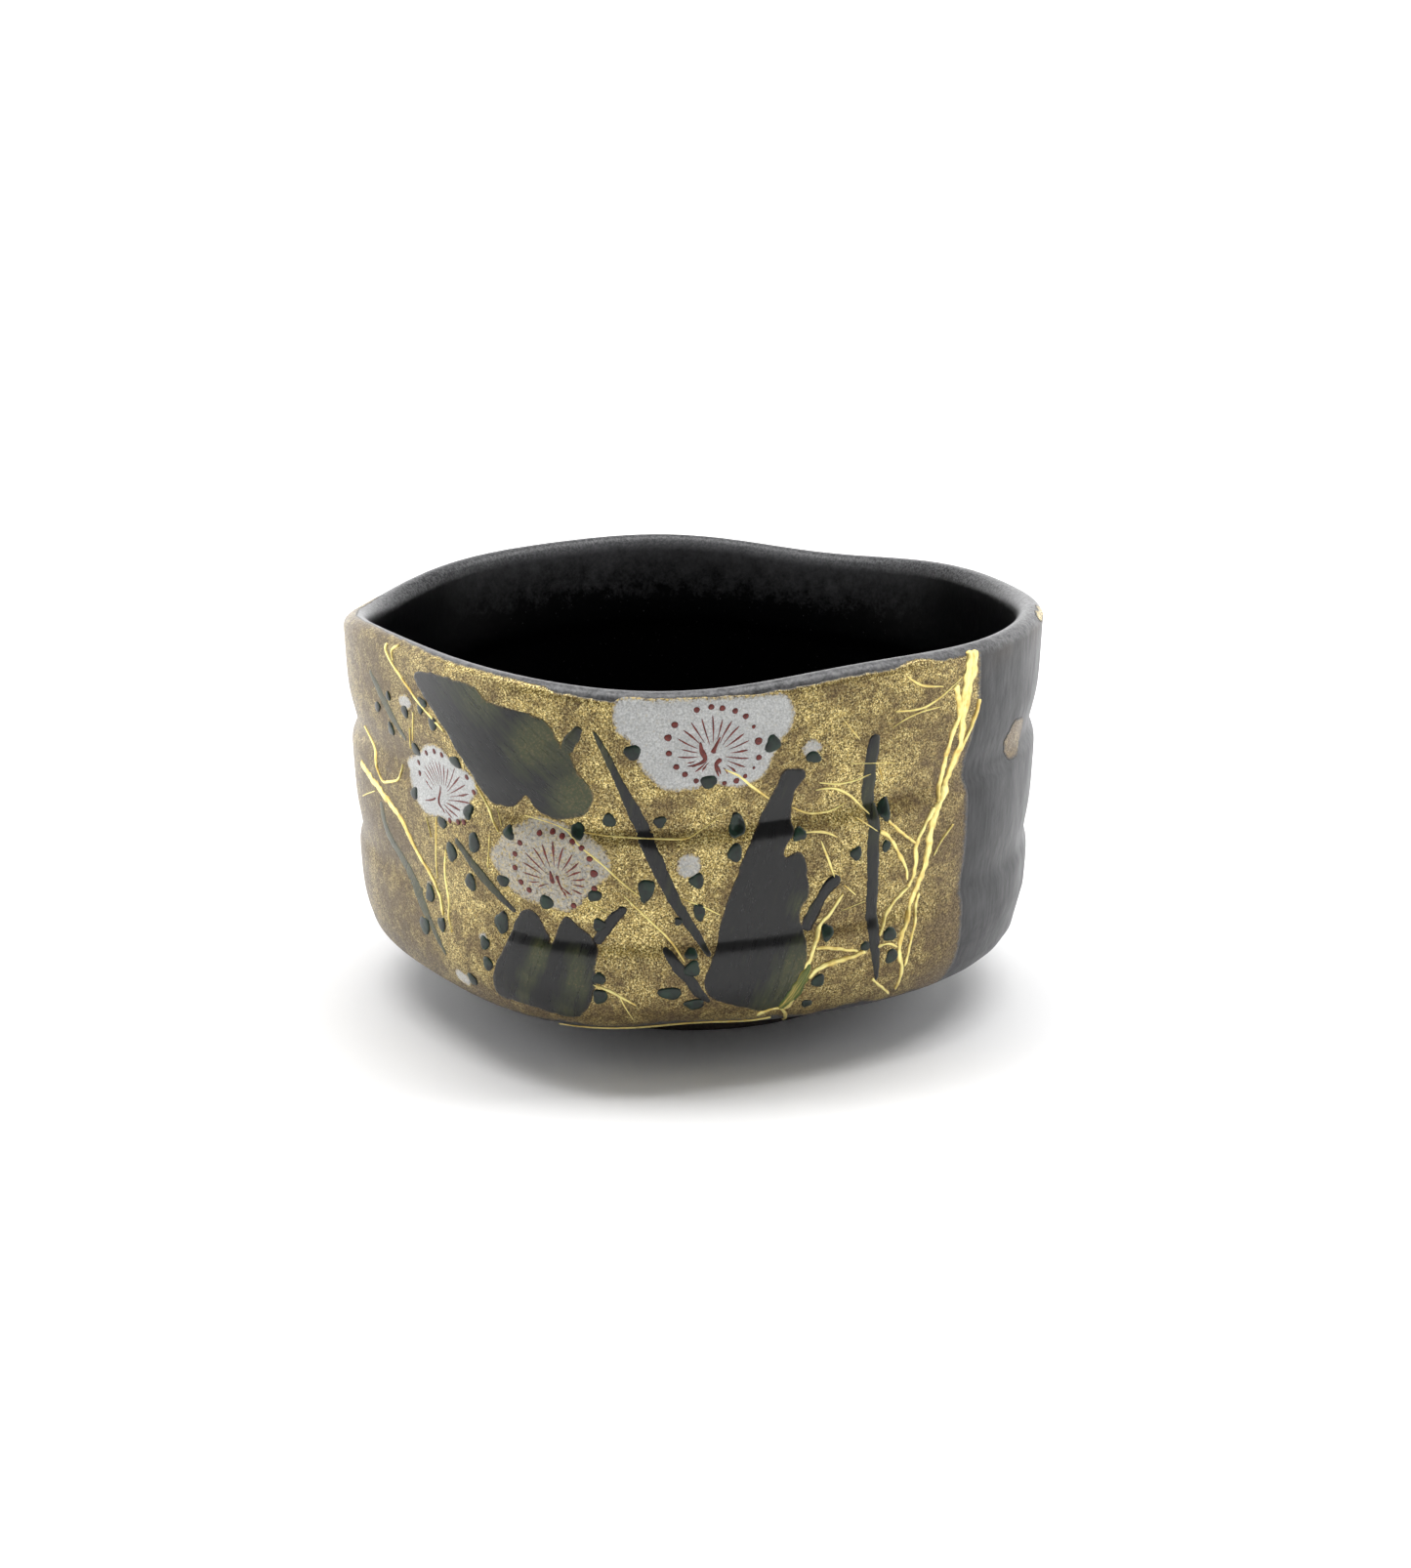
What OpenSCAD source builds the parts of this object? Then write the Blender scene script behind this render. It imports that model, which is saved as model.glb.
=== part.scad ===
// Tea bowl: a thrown stoneware bowl on a turned foot ring, under a black glaze,
// with a gold leaf panel and plum blossom enamels laid on its front.
// Millimetres. The origin is the centre of the foot's resting face and +Z is up.
// The decorated front faces -Y.

/* [Bowl] */
// Radius of the wall just under the lip
rim_r = 60; // [54:0.5:66]
// Radius that the wall would have at its foot without the heel curve
heel_r = 57.8; // [52:0.1:64]
// Height of the lip's outer edge above the table
rim_h = 67; // [60:0.5:75]
// Height of the heel curve, from the underside up to the straight wall
heel_h = 14; // [10:0.5:18]
// Squareness of the heel curve: 2 is an ellipse, more is squarer
heel_n = 2.8; // [2:0.1:3.5]
// Radius of the flat underside
base_r = 32.6; // [28:0.1:36]

/* [Wall] */
// Thickness of the wall and lip, glaze included
wall_t = 4.6; // [3.5:0.1:6]
// Height of the inside floor above the table
floor_z = 13.5; // [11:0.5:18]
// Height of the curve from the inside floor to the inside wall
floor_h = 24; // [16:1:30]
// Squareness of the inside floor curve
floor_n = 2.4; // [2:0.1:3]
// Thickness of the glaze coat
glaze_t = 0.4; // [0.2:0.05:0.6]

/* [Throwing marks] */
// How far the rim and plan wander from a true circle, 1 as thrown
wander = 1; // [0:0.1:1.5]
// Depth of the finger grooves, 1 as thrown
groove_depth = 1; // [0:0.1:1.5]
// How much the grooves dip towards the front
groove_tilt = 4; // [0:0.5:6]

/* [Foot] */
// Height of the foot ring
foot_h = 6; // [4:0.5:8]
// Outside radius of the foot ring
foot_r = 32.2; // [26:0.1:32.5]
// Width of the foot ring's wall at the top
foot_w = 6; // [4:0.5:8]

/* [Decoration] */
// Thickness of one painted or laid layer
layer_t = 0.14; // [0.1:0.01:0.2]
// Air between two layers, so that each stays a solid of its own
layer_gap = 0.03; // [0.01:0.01:0.04]

/* [Hidden] */

around = 48;              // columns round the bowl
step = 360/around;
heel_rows = [0.2, 0.42, 0.62, 0.78, 0.9];             // shares of the heel curve's reach
groove_rows = [-2.6, 0, 2.2, 5.2];                    // from a groove's bottom
plain_rows = [23.8, 40.6, 58, 62];
floor_rows = [0.12, 0.34, 0.54, 0.7, 0.83, 0.93];     // shares of the floor curve's reach
inner_rows = 7;
front = -90;              // angle of the middle of the decoration
foot_chamfer = 0.8;

// Lip section: where the outer and inner walls turn over, and the crest between them
lip_outer_z = rim_h - 1.6;
lip_inner_z = rim_h - 2.6;
lip_crest_z = rim_h + 0.5;
lip_out = 2.1;
lip_angles = [30, 60, 90];

// Waves round the bowl: [lobes, millimetres, phase in degrees]
plan_waves = [[2, 0.2, 75], [3, 0.8, 25], [4, 0.9, -70], [5, 0.6, 170], [6, 0.3, 115], [7, 0.3, -85]];
rim_waves = [[1, 0.7, 40], [2, 0.2, -100], [3, 1.1, -55], [4, 0.6, 120], [7, 0.3, -85]];

// Finger grooves: [height, depth], each with a slow slope above and a quick one below
grooves = [[48.7, 1.15], [29.7, 0.7], [15.3, 0.45]];
groove_above = 4.7;
groove_below = 1.7;
inner_groove_share = 0.4;

// The heel's line rises a little at the front, and a larger focus makes the rise narrower
heel_rise_h = 0.9;
heel_rise_focus = 130;

// Layers above the outside glaze: [inner face, outer face]
function layer(n) = [n*(layer_t + layer_gap), n*(layer_t + layer_gap) + layer_t];
leaf_layer = layer(0);
enamel_layer = layer(1);
thread_layer = layer(2);
dot_layer = layer(3);

// ---- Form of the bowl ----

function total(v, i = 0) = i < len(v) ? v[i] + total(v, i + 1) : 0;
function waves(list, a) = wander*total([for (w = list) w[1]*cos(w[0]*a - w[2])]);
function out_of_round(a) = 1 + waves(plan_waves, a)/rim_r;
function lifted(a, z) = z + waves(rim_waves, a)*pow(z/rim_h, 2);
function heel_rise(a, z) =
    wander*heel_rise_h*pow((1 + cos(a - front))/2, heel_rise_focus)
    *min(1, (z - foot_h)/2)*exp(-pow(max(0, z - foot_h - 2)/6, 2));
function groove(q) = exp(-pow(q/(q > 0 ? groove_above : groove_below), 2));
function dents(a, z) =
    groove_depth*total([for (g = grooves) g[1]*groove(z - groove_tilt*sin(a) - g[0])]);
function straight_r(z) = heel_r + (rim_r - heel_r)*(z - foot_h)/(rim_h - foot_h);

// How far out a superelliptic curve has come at the share t of its height, and the inverse
function bulge(t, n) = pow(1 - pow(1 - min(1, max(0, t)), n), 1/n);
function climb(b, n) = 1 - pow(1 - pow(b, n), 1/n);

function outer_r(a, z) =
    (base_r + (straight_r(z) - base_r)*bulge((z - foot_h)/heel_h, heel_n) - dents(a, z))*out_of_round(a);
function inner_r(a, z) =
    (straight_r(z) - wall_t - inner_groove_share*dents(a, z))
    *bulge((z - floor_z)/floor_h, floor_n)*out_of_round(a);

// Points [radius, height] on the two walls, moved by d along the section's normal, away from the clay
function outer_rail(a, z) = [outer_r(a, z), lifted(a, z) + heel_rise(a, z)];
function inner_rail(a, z) = [inner_r(a, z), lifted(a, z)];
function unit(v) = v/norm(v);
function outer_point(a, z, d) =
    let (e = 0.05, t = unit(outer_rail(a, z + e) - outer_rail(a, max(foot_h, z - e))))
    outer_rail(a, z) + d*[t[1], -t[0]];
function inner_point(a, z, d) =
    let (e = 0.05, t = unit(inner_rail(a, z + e) - inner_rail(a, max(floor_z, z - e))))
    inner_rail(a, z) + d*[-t[1], t[0]];

// A point on the lip at the angle f over its section: 0 is outside, 90 the crest and 180 inside
function lip_point(a, f, d) =
    let (middle = outer_r(a, lip_outer_z) - lip_out,
         reach = f < 90 ? lip_out : wall_t - lip_out,
         foot = f < 90 ? lip_outer_z : lip_inner_z)
    [middle + (reach + d)*cos(f), lifted(a, foot + (lip_crest_z - foot + d)*sin(f))];

function placed(a, p) = [p[0]*cos(a), p[0]*sin(a), p[1]];
function ring(section) = [for (k = [0:around - 1]) placed(k*step, section[k])];

// Levels of the rings on the outer wall. They dip with the grooves, less so near the foot and lip.
function rows_near(g) = [for (r = groove_rows) g[0] + r];
levels = concat([foot_h], [for (b = heel_rows) foot_h + heel_h*climb(b, heel_n)],
                rows_near(grooves[2]), [plain_rows[0]], rows_near(grooves[1]), [plain_rows[1]],
                rows_near(grooves[0]), [plain_rows[2], plain_rows[3], lip_outer_z]);
function dipped(a, level) =
    level + groove_tilt*sin(a)*min(1, (level - foot_h)/8, (lip_outer_z - level)/10);
inner_z = concat([for (b = floor_rows) floor_z + floor_h*climb(b, floor_n)], [floor_z + floor_h],
                 [for (k = [1:inner_rows])
                     floor_z + floor_h + (lip_inner_z - floor_z - floor_h)*k/inner_rows]);

// Rings up the outer wall to the crest, and up the inner wall to just before the crest
function outer_rings(d) = concat(
    [for (z = levels) ring([for (k = [0:around - 1]) outer_point(k*step, dipped(k*step, z), d)])],
    [for (f = lip_angles) ring([for (k = [0:around - 1]) lip_point(k*step, f, d)])]);
function inner_rings(d) = concat(
    [for (z = inner_z) ring([for (k = [0:around - 1]) inner_point(k*step, z, d)])],
    [for (f = [120, 150]) ring([for (k = [0:around - 1]) lip_point(k*step, 270 - f, d)])]);
function flipped(v) = [for (k = [len(v) - 1:-1:0]) v[k]];
function joined(lists) = [for (l = lists) each l];

// Sides between neighbouring rings of n points, the first ring lowest on the outside
function band_faces(rings, n) = [for (j = [0:rings - 2], k = [0:n - 1])
    let (m = (k + 1)%n) each [[j*n + k, (j + 1)*n + k, (j + 1)*n + m], [j*n + k, (j + 1)*n + m, j*n + m]]];

// A solid skinned over rings, with flat ends
module skinned(rings) {
    n = len(rings[0]);
    last = (len(rings) - 1)*n;
    ends = [[for (k = [0:n - 1]) k], [for (k = [n - 1:-1:0]) last + k]];
    polyhedron(joined(rings), concat(ends, band_faces(len(rings), n)));
}

// A hollow collar skinned over rings, where the last ring meets the first
module collar(rings) {
    n = len(rings[0]);
    polyhedron(joined(rings), [for (f = band_faces(len(rings) + 1, n)) [for (i = f) i%(n*len(rings))]]);
}

// ---- Laying a flat pattern on the wall ----

// s runs along the wall at the rim's radius from the middle of the front, to the right,
// and h is the height on the wall before the rim's waves lift it
function on_wall(p, d) = let (a = front + p[0]/rim_r*180/PI) placed(a, outer_point(a, p[1], d));

// A patch between two layers, fanned in a number of loops from a centre to its outline
module patch(centre, outline, faces, loops) {
    n = len(outline);
    flat = concat([centre], [for (j = [1:loops], p = outline) centre + (p - centre)*j/loops]);
    count = len(flat);
    top = [for (k = [0:n - 1]) let (m = (k + 1)%n) each concat(
        [[0, 1 + m, 1 + k]],
        [for (j = [0:loops - 2]) each [[1 + j*n + k, 1 + j*n + m, 1 + (j + 1)*n + m],
                                       [1 + j*n + k, 1 + (j + 1)*n + m, 1 + (j + 1)*n + k]]])];
    edge = [for (k = [0:n - 1]) let (m = (k + 1)%n, i = 1 + (loops - 1)*n)
        each [[i + k, i + m, i + m + count], [i + k, i + m + count, i + k + count]]];
    polyhedron(concat([for (p = flat) on_wall(p, faces[1])], [for (p = flat) on_wall(p, faces[0])]),
               concat(top, edge, [for (f = top) [for (i = flipped(f)) i + count]]));
}

// The block between two corners' outlines of the same count, which is convex
module block(low, high) {
    n = len(low);
    sides = [for (k = [0:n - 1]) [k, (k + 1)%n, (k + 1)%n + n, k + n]];
    hull() polyhedron(concat(low, high),
        concat([[for (k = [n - 1:-1:0]) k], [for (k = [0:n - 1]) k + n]], sides));
}

// The same points with one more halfway between each two
function halved(v) = [for (k = [0:len(v) - 2]) each [v[k], (v[k] + v[k + 1])/2], v[len(v) - 1]];

// A brush line through points [s, h, width]
module brushed(line, faces) {
    last = len(line) - 1;
    flat = [for (p = line) [p[0], p[1]]];
    across = [for (k = [0:last]) let (t = unit(flat[min(last, k + 1)] - flat[max(0, k - 1)])) [-t[1], t[0]]];
    for (k = [0:last - 1]) {
        corners = [flat[k] - across[k]*line[k][2]/2, flat[k + 1] - across[k + 1]*line[k + 1][2]/2,
                   flat[k + 1] + across[k + 1]*line[k + 1][2]/2, flat[k] + across[k]*line[k][2]/2];
        block([for (c = corners) on_wall(c, faces[0])], [for (c = corners) on_wall(c, faces[1])]);
    }
}

// The same line with one width all along, narrowed to a share of it at the far end
module drawn(points, width, tip, faces) {
    last = len(points) - 1;
    brushed([for (k = [0:last]) [points[k][0], points[k][1], width*(1 + (tip - 1)*k/last)]], faces);
}

// A small dab: an oval of the given width and height
module dab(s, h, w, t, faces, sides = 6) {
    rim = [for (k = [0:sides - 1]) [s + w/2*cos(360*k/sides), h + t/2*sin(360*k/sides)]];
    block([for (p = rim) on_wall(p, faces[0])], [for (p = rim) on_wall(p, faces[1])]);
}

// ---- Drawing of the decoration, in s and h ----

panel_left = -112;
panel_right = [[11, 52.5], [30, 52.3], [45, 52], [50, 51.7], [58.5, 54], [67, 53]];
panel_low_row = 5;

upper_leaf_middle = [-26, 55];
upper_leaf_edge = [[-50, 63.5], [-49.3, 61.7], [-44, 58], [-40, 54.5], [-36, 50], [-34, 47.5], [-32, 46],
    [-28, 46.3], [-26.5, 47.5], [-25.2, 48.7], [-24, 47], [-22, 45.8], [-20, 45.4], [-16.5, 46.5],
    [-14.8, 48.3], [-14.4, 50.5], [-15, 52], [-16.5, 54.5], [-17.8, 57.3], [-18.8, 57.8], [-20, 60.5],
    [-22, 62], [-27, 62.7], [-31.5, 63], [-34, 64.8], [-38, 64.9], [-45, 64.7]];

tall_leaf_middle = [11, 27];
tall_leaf_edge = [[15.5, 53], [14, 50.5], [12, 46.5], [10.5, 43], [8.5, 39], [7, 35], [5.5, 30], [4.3, 25],
    [3.5, 22.5], [2.3, 19], [3, 16.5], [5, 14.8], [9, 13.2], [13, 11.8], [16, 12.5], [18, 14], [19.5, 18],
    [20, 22], [19.5, 26], [18.7, 27.5], [19, 29.5], [20, 31], [20, 33], [19.3, 37.5], [18, 39.3],
    [16.3, 39.6], [17, 42.5], [17.3, 47], [18, 50], [19, 51.8], [18.5, 52.8]];

lower_left_leaf_middle = [-26.5, 20];
lower_left_leaf_edge = [[-28, 29], [-29, 26], [-31, 22], [-33, 18.5], [-34.2, 15], [-32, 13.5], [-28, 13.3],
    [-24, 12.5], [-22.2, 13], [-21.6, 18], [-22, 26], [-23, 28.5], [-24.7, 30], [-26.5, 30]];
lower_right_leaf_middle = [-18.5, 20];
lower_right_leaf_edge = [[-19.2, 29.5], [-20.5, 28], [-21.4, 26], [-21.2, 18], [-21.8, 12.6], [-20, 11.9],
    [-17, 13], [-15.3, 16], [-14.5, 20], [-14.3, 24], [-15, 26.5], [-16.5, 27.5]];

strokes = [
    [[-14, 61, 0.4], [-12.5, 58, 0.9], [-10, 52, 1.2], [-8, 47, 2], [-6, 42, 1.9], [-4, 37, 2],
     [-1.5, 31.5, 1.5], [1, 27, 1.2], [3, 23.4, 0.8]],
    [[31.5, 56, 1.5], [30.8, 52, 1.9], [31, 47, 2.2], [31.8, 37, 2.1], [32.2, 30, 2], [32.5, 25, 1.9],
     [33, 20, 1.6], [34, 15, 0.8]],
    [[-4, 25, 1.2], [-2, 22, 1.6], [0, 19.5, 1.5], [1.5, 17, 1.2]],
    [[-40.5, 38.5, 1], [-36, 35, 1.5], [-32, 32, 1.4], [-28.6, 29.8, 0.8]],
    [[-67.5, 60.5, 1], [-60, 55, 1.6], [-55, 51.5, 1]],
    [[-66.5, 38.5, 1.2], [-65, 34, 1.8], [-57, 28, 2], [-52, 24, 1.6], [-45.5, 17.5, 0.8]]];
upper_leaf_stalk = [[-18, 57.6, 1.5], [-17, 59.8, 1.4], [-16, 61.5, 0.7]];
tall_leaf_stalk = [[20.4, 25.5, 1.8], [22.5, 31, 1.8], [25.8, 33.6, 1]];
lower_leaf_stalk = [[-14.2, 25.5, 1.3], [-12, 29.5, 1.4], [-9.8, 32, 0.8]];

large_middle = [3.7, 57.5];
large_edge = [[-10.5, 65.3], [-11.3, 63.5], [-10.5, 61], [-9, 59.8], [-7.5, 56], [-6, 53.5], [-4, 51.8],
    [-1.5, 51.2], [1, 51.5], [4.5, 52], [6.5, 51.2], [9, 51.2], [12, 52.5], [13.4, 55.5], [15, 58],
    [16.7, 60.5], [17, 62.5], [16, 64.8], [13, 65.3], [8, 65.4], [3, 65.4], [-4, 65.4]];
large_anthers = [[1.2, 64.4], [3.4, 64.7], [5.1, 64.5], [7.1, 64], [8.8, 62.9], [10.1, 61], [10.9, 58.5],
    [11, 55.8], [10.2, 54.2], [8.8, 53], [7.4, 52.4], [5.5, 52.6], [1.1, 53], [-0.6, 54.2], [-1.9, 55.5],
    [-3, 57.8], [-3.1, 60.4], [-2.1, 62.5]];
large_heart = [3.7, 57];

middle_middle = [-21.5, 38];
middle_edge = [[-32.5, 38], [-31, 35.3], [-29, 33.5], [-27.5, 32], [-25, 31.2], [-22.5, 31], [-19, 30.6],
    [-17, 31.5], [-16, 33], [-14.5, 34.5], [-12, 37], [-11.7, 39], [-12.5, 41.5], [-14, 43], [-17, 44.5],
    [-20, 45.2], [-23.5, 45.4], [-26, 44.5], [-29, 42.5], [-31, 40]];
middle_anthers = [[-27.3, 39], [-26.3, 41], [-23, 43.1], [-20.9, 43.6], [-19.3, 43.1], [-17.6, 42.5],
    [-16.2, 41.6], [-15, 39.9], [-14.4, 37.5], [-14.4, 35], [-17.7, 31.8], [-25, 33.4], [-26.4, 34.5],
    [-27.4, 36.7]];
middle_heart = [-20.5, 35.5];

left_middle = [-46, 46.5];
left_edge = [[-56.5, 48], [-56, 45.5], [-54, 44], [-52, 42], [-49, 40.6], [-44, 41], [-40, 41.3],
    [-36.7, 43], [-37, 45], [-35.4, 46], [-35.9, 48.6], [-37.2, 50.2], [-40, 51], [-42, 52.5],
    [-45, 53.1], [-48, 52.5],
    [-51, 50.5]];
left_anthers = [[-52, 48.4], [-52.3, 46.5], [-48.3, 50.9], [-45.5, 51.8], [-43.3, 51.7], [-37.6, 49.2],
    [-36.8, 47], [-38, 42.6], [-39.5, 42.1], [-41.7, 41.9]];
left_heart = [-45.2, 44];

anther_size = 1;
filament_w = 0.3;
filament_start = 1.2;     // distance from the heart where a filament begins
filament_stop = 1.4;      // distance short of the anther where it ends

// Dabs of enamel: [s, h, width, height]
buds = [[-53.8, 58, 4.5, 2.5], [20, 56, 3.6, 2.6], [0, 38.8, 4, 4], [-42, 14.3, 4.5, 3],
    [-50.5, 28.2, 1.6, 1.4], [-34.7, 23.5, 1.8, 1.6]];
dots = [[-65, 55, 2.2, 1.5], [-60.2, 57.8, 1.5, 1.5], [-60.5, 52.2, 2, 2], [-54.3, 56.5, 2.4, 1.8],
    [-48, 59.3, 2.5, 1.3], [-45.2, 56.4, 2.2, 2], [-52, 50.6, 2.6, 2],
    [-39.7, 51.3, 2.8, 1.7], [-52.8, 43.2, 2.4, 2], [-37.2, 43.7, 2, 2.2], [-44, 40.4, 2.4, 1.8],
    [-41.8, 36, 2.6, 3], [-35.8, 39, 2.4, 3.2], [-37.3, 32, 2.4, 2.8], [-50.4, 26.8, 2.6, 3],
    [-46, 22.6, 2.2, 2.4], [-34.5, 22.5, 2, 2.2], [-34, 19, 2, 2.4],
    [-39, 14.8, 2.2, 2.2], [-31, 26.6, 3, 3.5], [-28.4, 42.2, 2, 2.2],
    [-17, 44.1, 2, 2.6], [-29.9, 34, 2.4, 1.8], [-22.2, 31.8, 2.2, 2.2], [-14.4, 33.8, 2.2, 1.8],
    [-12.2, 46.2, 1.9, 2.4], [-4.5, 46, 1.7, 2], [-8.3, 57.9, 2.2, 2.4], [3, 52.7, 2.4, 2.2],
    [13.3, 57.7, 2.4, 2.8], [20.3, 54.4, 2.8, 1.8], [7.7, 44.7, 2.6, 3.8], [7.3, 40.3, 2.2, 2.8],
    [1.2, 36.2, 2.2, 2.4], [-6.6, 35, 2.4, 3.8], [1.6, 30.8, 1.7, 3], [-1.7, 29.4, 1.3, 1.3],
    [0.3, 23.8, 2, 1.8], [0.5, 21, 2.5, 2.5], [-3.1, 17.2, 3.4, 2.2], [0.8, 14.7, 3.2, 2.2],
    [-14, 16.6, 2.2, 2.6], [-13.9, 28.8, 2, 2.2], [-14, 20, 2, 2], [18.2, 42, 2, 2.2], [34, 43.8, 2.2, 3.2],
    [28.6, 37.4, 2, 2.2], [34.3, 37.8, 1.6, 2], [23.8, 24.8, 2, 2.6], [35.8, 22.7, 2.6, 2.2],
    [36.4, 18.9, 2.4, 2.2], [31, 21.5, 1.6, 1.6], [22.3, 16.8, 2.4, 2]];
flecks = [[69, 49, 5, 5], [-96, 8.6, 7, 1.6], [82, 64.6, 8, 1.4]];

// Gold branches: [width, tip as a share of it, points]
branches = [
    [1.8, 0.4, [[50.5, 65], [49.5, 62], [49.5, 58], [50, 54], [49.8, 50], [48, 47.5], [46, 45.5], [44.3, 43],
        [43.5, 39], [43.3, 35.5], [42.5, 32.5], [41, 29.5], [39.8, 27], [39, 24], [38, 21.5], [38.3, 19],
        [39.2, 16], [39.5, 12]]],
    [0.8, 1, [[50.5, 65.2], [52.4, 64.6], [52, 62.5], [50.2, 61]]],
    [1.2, 0.8, [[53.6, 58.5], [52.3, 56], [51.2, 53], [50.4, 50.5]]],
    [1.6, 0.7, [[47, 61.5], [48, 59], [47.8, 56], [47, 53], [46.3, 50], [45.5, 47], [45, 44.5]]],
    [1.2, 0.7, [[43.8, 42.5], [42, 40], [40.5, 37], [40.5, 35], [40.5, 32.5], [39.5, 30], [37, 28],
        [35, 25.5], [33.8, 22.8]]],
    [0.7, 0.8, [[34.5, 42], [37, 39.8], [40.3, 37.3]]],
    [0.8, 0.8, [[33, 40.5], [35, 39], [37, 36], [38.5, 33.5], [39.5, 31]]],
    [0.8, 0.7, [[41.6, 30], [41, 24], [40, 19.5], [39.3, 16.5]]],
    [0.5, 1, [[48.5, 39], [46, 36.8], [43.8, 34.5]]],
    [0.7, 1, [[33.5, 21], [35.5, 21.2], [38, 20.3]]],
    [0.8, 0.6, [[33, 15.5], [35, 13.8], [38.5, 11.6]]],
    [1.2, 0.8, [[20, 17], [22, 18.8], [25, 19.6], [28, 20], [31, 20.5]]],
    [0.8, 0.8, [[21.7, 22.5], [25, 22], [30, 20.7]]],
    [1.8, 0.4, [[16.4, 12], [18.2, 15], [19.4, 17.5], [20.3, 20], [21.5, 23], [22.5, 26], [24.5, 28],
        [26.5, 31]]],
    [0.8, 0.8, [[12, 11], [15, 11.9], [17, 11.5], [19, 9]]],
    [1.8, 0.5, [[-76, 43], [-72, 42], [-67, 40.7], [-62, 39], [-58, 37.2], [-55, 34.5], [-52, 32],
        [-49.5, 30], [-47.5, 27.3], [-45.5, 24.3]]],
    [0.9, 0.7, [[-60, 65.2], [-58, 63.7], [-55, 62], [-52, 60.5], [-50, 59.3], [-46.5, 57.8], [-42, 55.8]]],
    [0.8, 0.7, [[-75.5, 49.5], [-70, 46.3], [-67, 43.8], [-65, 42.4], [-62, 43], [-58.8, 44.2],
        [-58.8, 46.5]]],
    [0.6, 0.7, [[-35.5, 48.5], [-33, 45], [-30.3, 42]]]];

thread_w = 0.4;
threads = [
    [[-26, 45.3], [-19.5, 44.3], [-16, 41.5], [-13, 39], [-10, 36], [-6.5, 33]],
    [[-10, 34], [-6, 29.5], [-3, 26], [-0.7, 22.5]],
    [[-19.5, 44.2], [-14, 43.8], [-5, 43.4], [-0.5, 43.3], [2, 44.5], [5, 46.5]],
    [[5.5, 54.5], [8, 53], [10, 51], [13, 48.5]],
    [[-15.5, 32.5], [-12, 30.8]], [[-1.5, 33.5], [2, 31.8], [5, 30]],
    [[-15, 18.7], [-12, 17.5], [-8.5, 15]], [[-11, 17], [-9.3, 11.8]],
    [[-45.8, 41], [-46.5, 36], [-47.3, 30]], [[-43.5, 36], [-44.6, 31], [-44.3, 26], [-43, 22]],
    [[-49, 40], [-47.8, 37]], [[-32.2, 41], [-33, 35.5]], [[-51.3, 57], [-52.5, 52]],
    [[-53, 54], [-54, 50.3]], [[-69, 39.8], [-77, 37]], [[21.5, 50], [25, 49.2], [28, 49.3], [31, 50]],
    [[21, 48.8], [24.5, 48.5], [28, 46.5], [31, 43.5]], [[17, 46.5], [20, 45], [24, 44.8], [27, 45.8]],
    [[19, 42.2], [22.5, 41.8], [25, 40.6]], [[22, 40.5], [23.5, 37], [24.7, 34]],
    [[26.5, 32.5], [29, 30.3]], [[26.5, 28], [31, 29]], [[25.5, 59.5], [28.5, 56]],
    [[27, 52.3], [35.5, 51.2]],
    [[32.5, 51], [33.8, 48]], [[34.5, 57], [37, 58], [40, 58.7], [44, 59]],
    [[35, 59.5], [40, 59.3], [44, 60.5], [48.5, 63]], [[37, 64.8], [40, 63], [44.5, 62.2]],
    [[28.5, 43.3], [32.5, 40.5]]];

// ---- Sub-parts ----

module clay_body() {
    color("#4b443e") skinned(concat(outer_rings(-glaze_t), flipped(inner_rings(-glaze_t))));
}

module foot_ring() {
    color("#3a332d") rotate_extrude($fn = 96)
        polygon([[foot_r - foot_w + 1, 0], [foot_r - foot_chamfer, 0], [foot_r - 0.2, foot_chamfer],
                 [foot_r, foot_h], [foot_r - foot_w, foot_h], [foot_r - foot_w, foot_chamfer]]);
}

// Glaze inside the foot's hollow, up its inner side and over the underside
module foot_glaze() {
    r = foot_r - foot_w;
    color("#17171a") rotate_extrude($fn = 96)
        polygon([[0, foot_h - glaze_t], [r - glaze_t, foot_h - glaze_t], [r - glaze_t, foot_chamfer + 0.6],
                 [r, foot_chamfer + 0.6], [r, foot_h], [0, foot_h]]);
}

module outside_glaze() {
    color("#2b2b2e") collar(concat(outer_rings(0), flipped(outer_rings(-glaze_t))));
}

module inside_glaze() {
    crest = len(lip_angles);
    lip = function (d) ring([for (k = [0:around - 1]) lip_point(k*step, 90, d)]);
    color("#111113") skinned(concat(inner_rings(-glaze_t), [lip(-glaze_t), lip(0)], flipped(inner_rings(0))));
}

module gold_leaf() {
    rows = [for (j = [panel_low_row:len(levels) - 1]) levels[j]];
    first = ceil((panel_left/rim_r*180/PI)/step);
    last = floor((50/rim_r*180/PI)/step);
    row = function (z) [for (k = [first:last]) [k*step*PI/180*rim_r, dipped(front + k*step, z)],
                        [lookup(z, panel_right), dipped(front + (last + 1)*step, z)]];
    color("#8f7a3c") sheet([for (z = rows) row(z)], leaf_layer);
}

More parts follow.
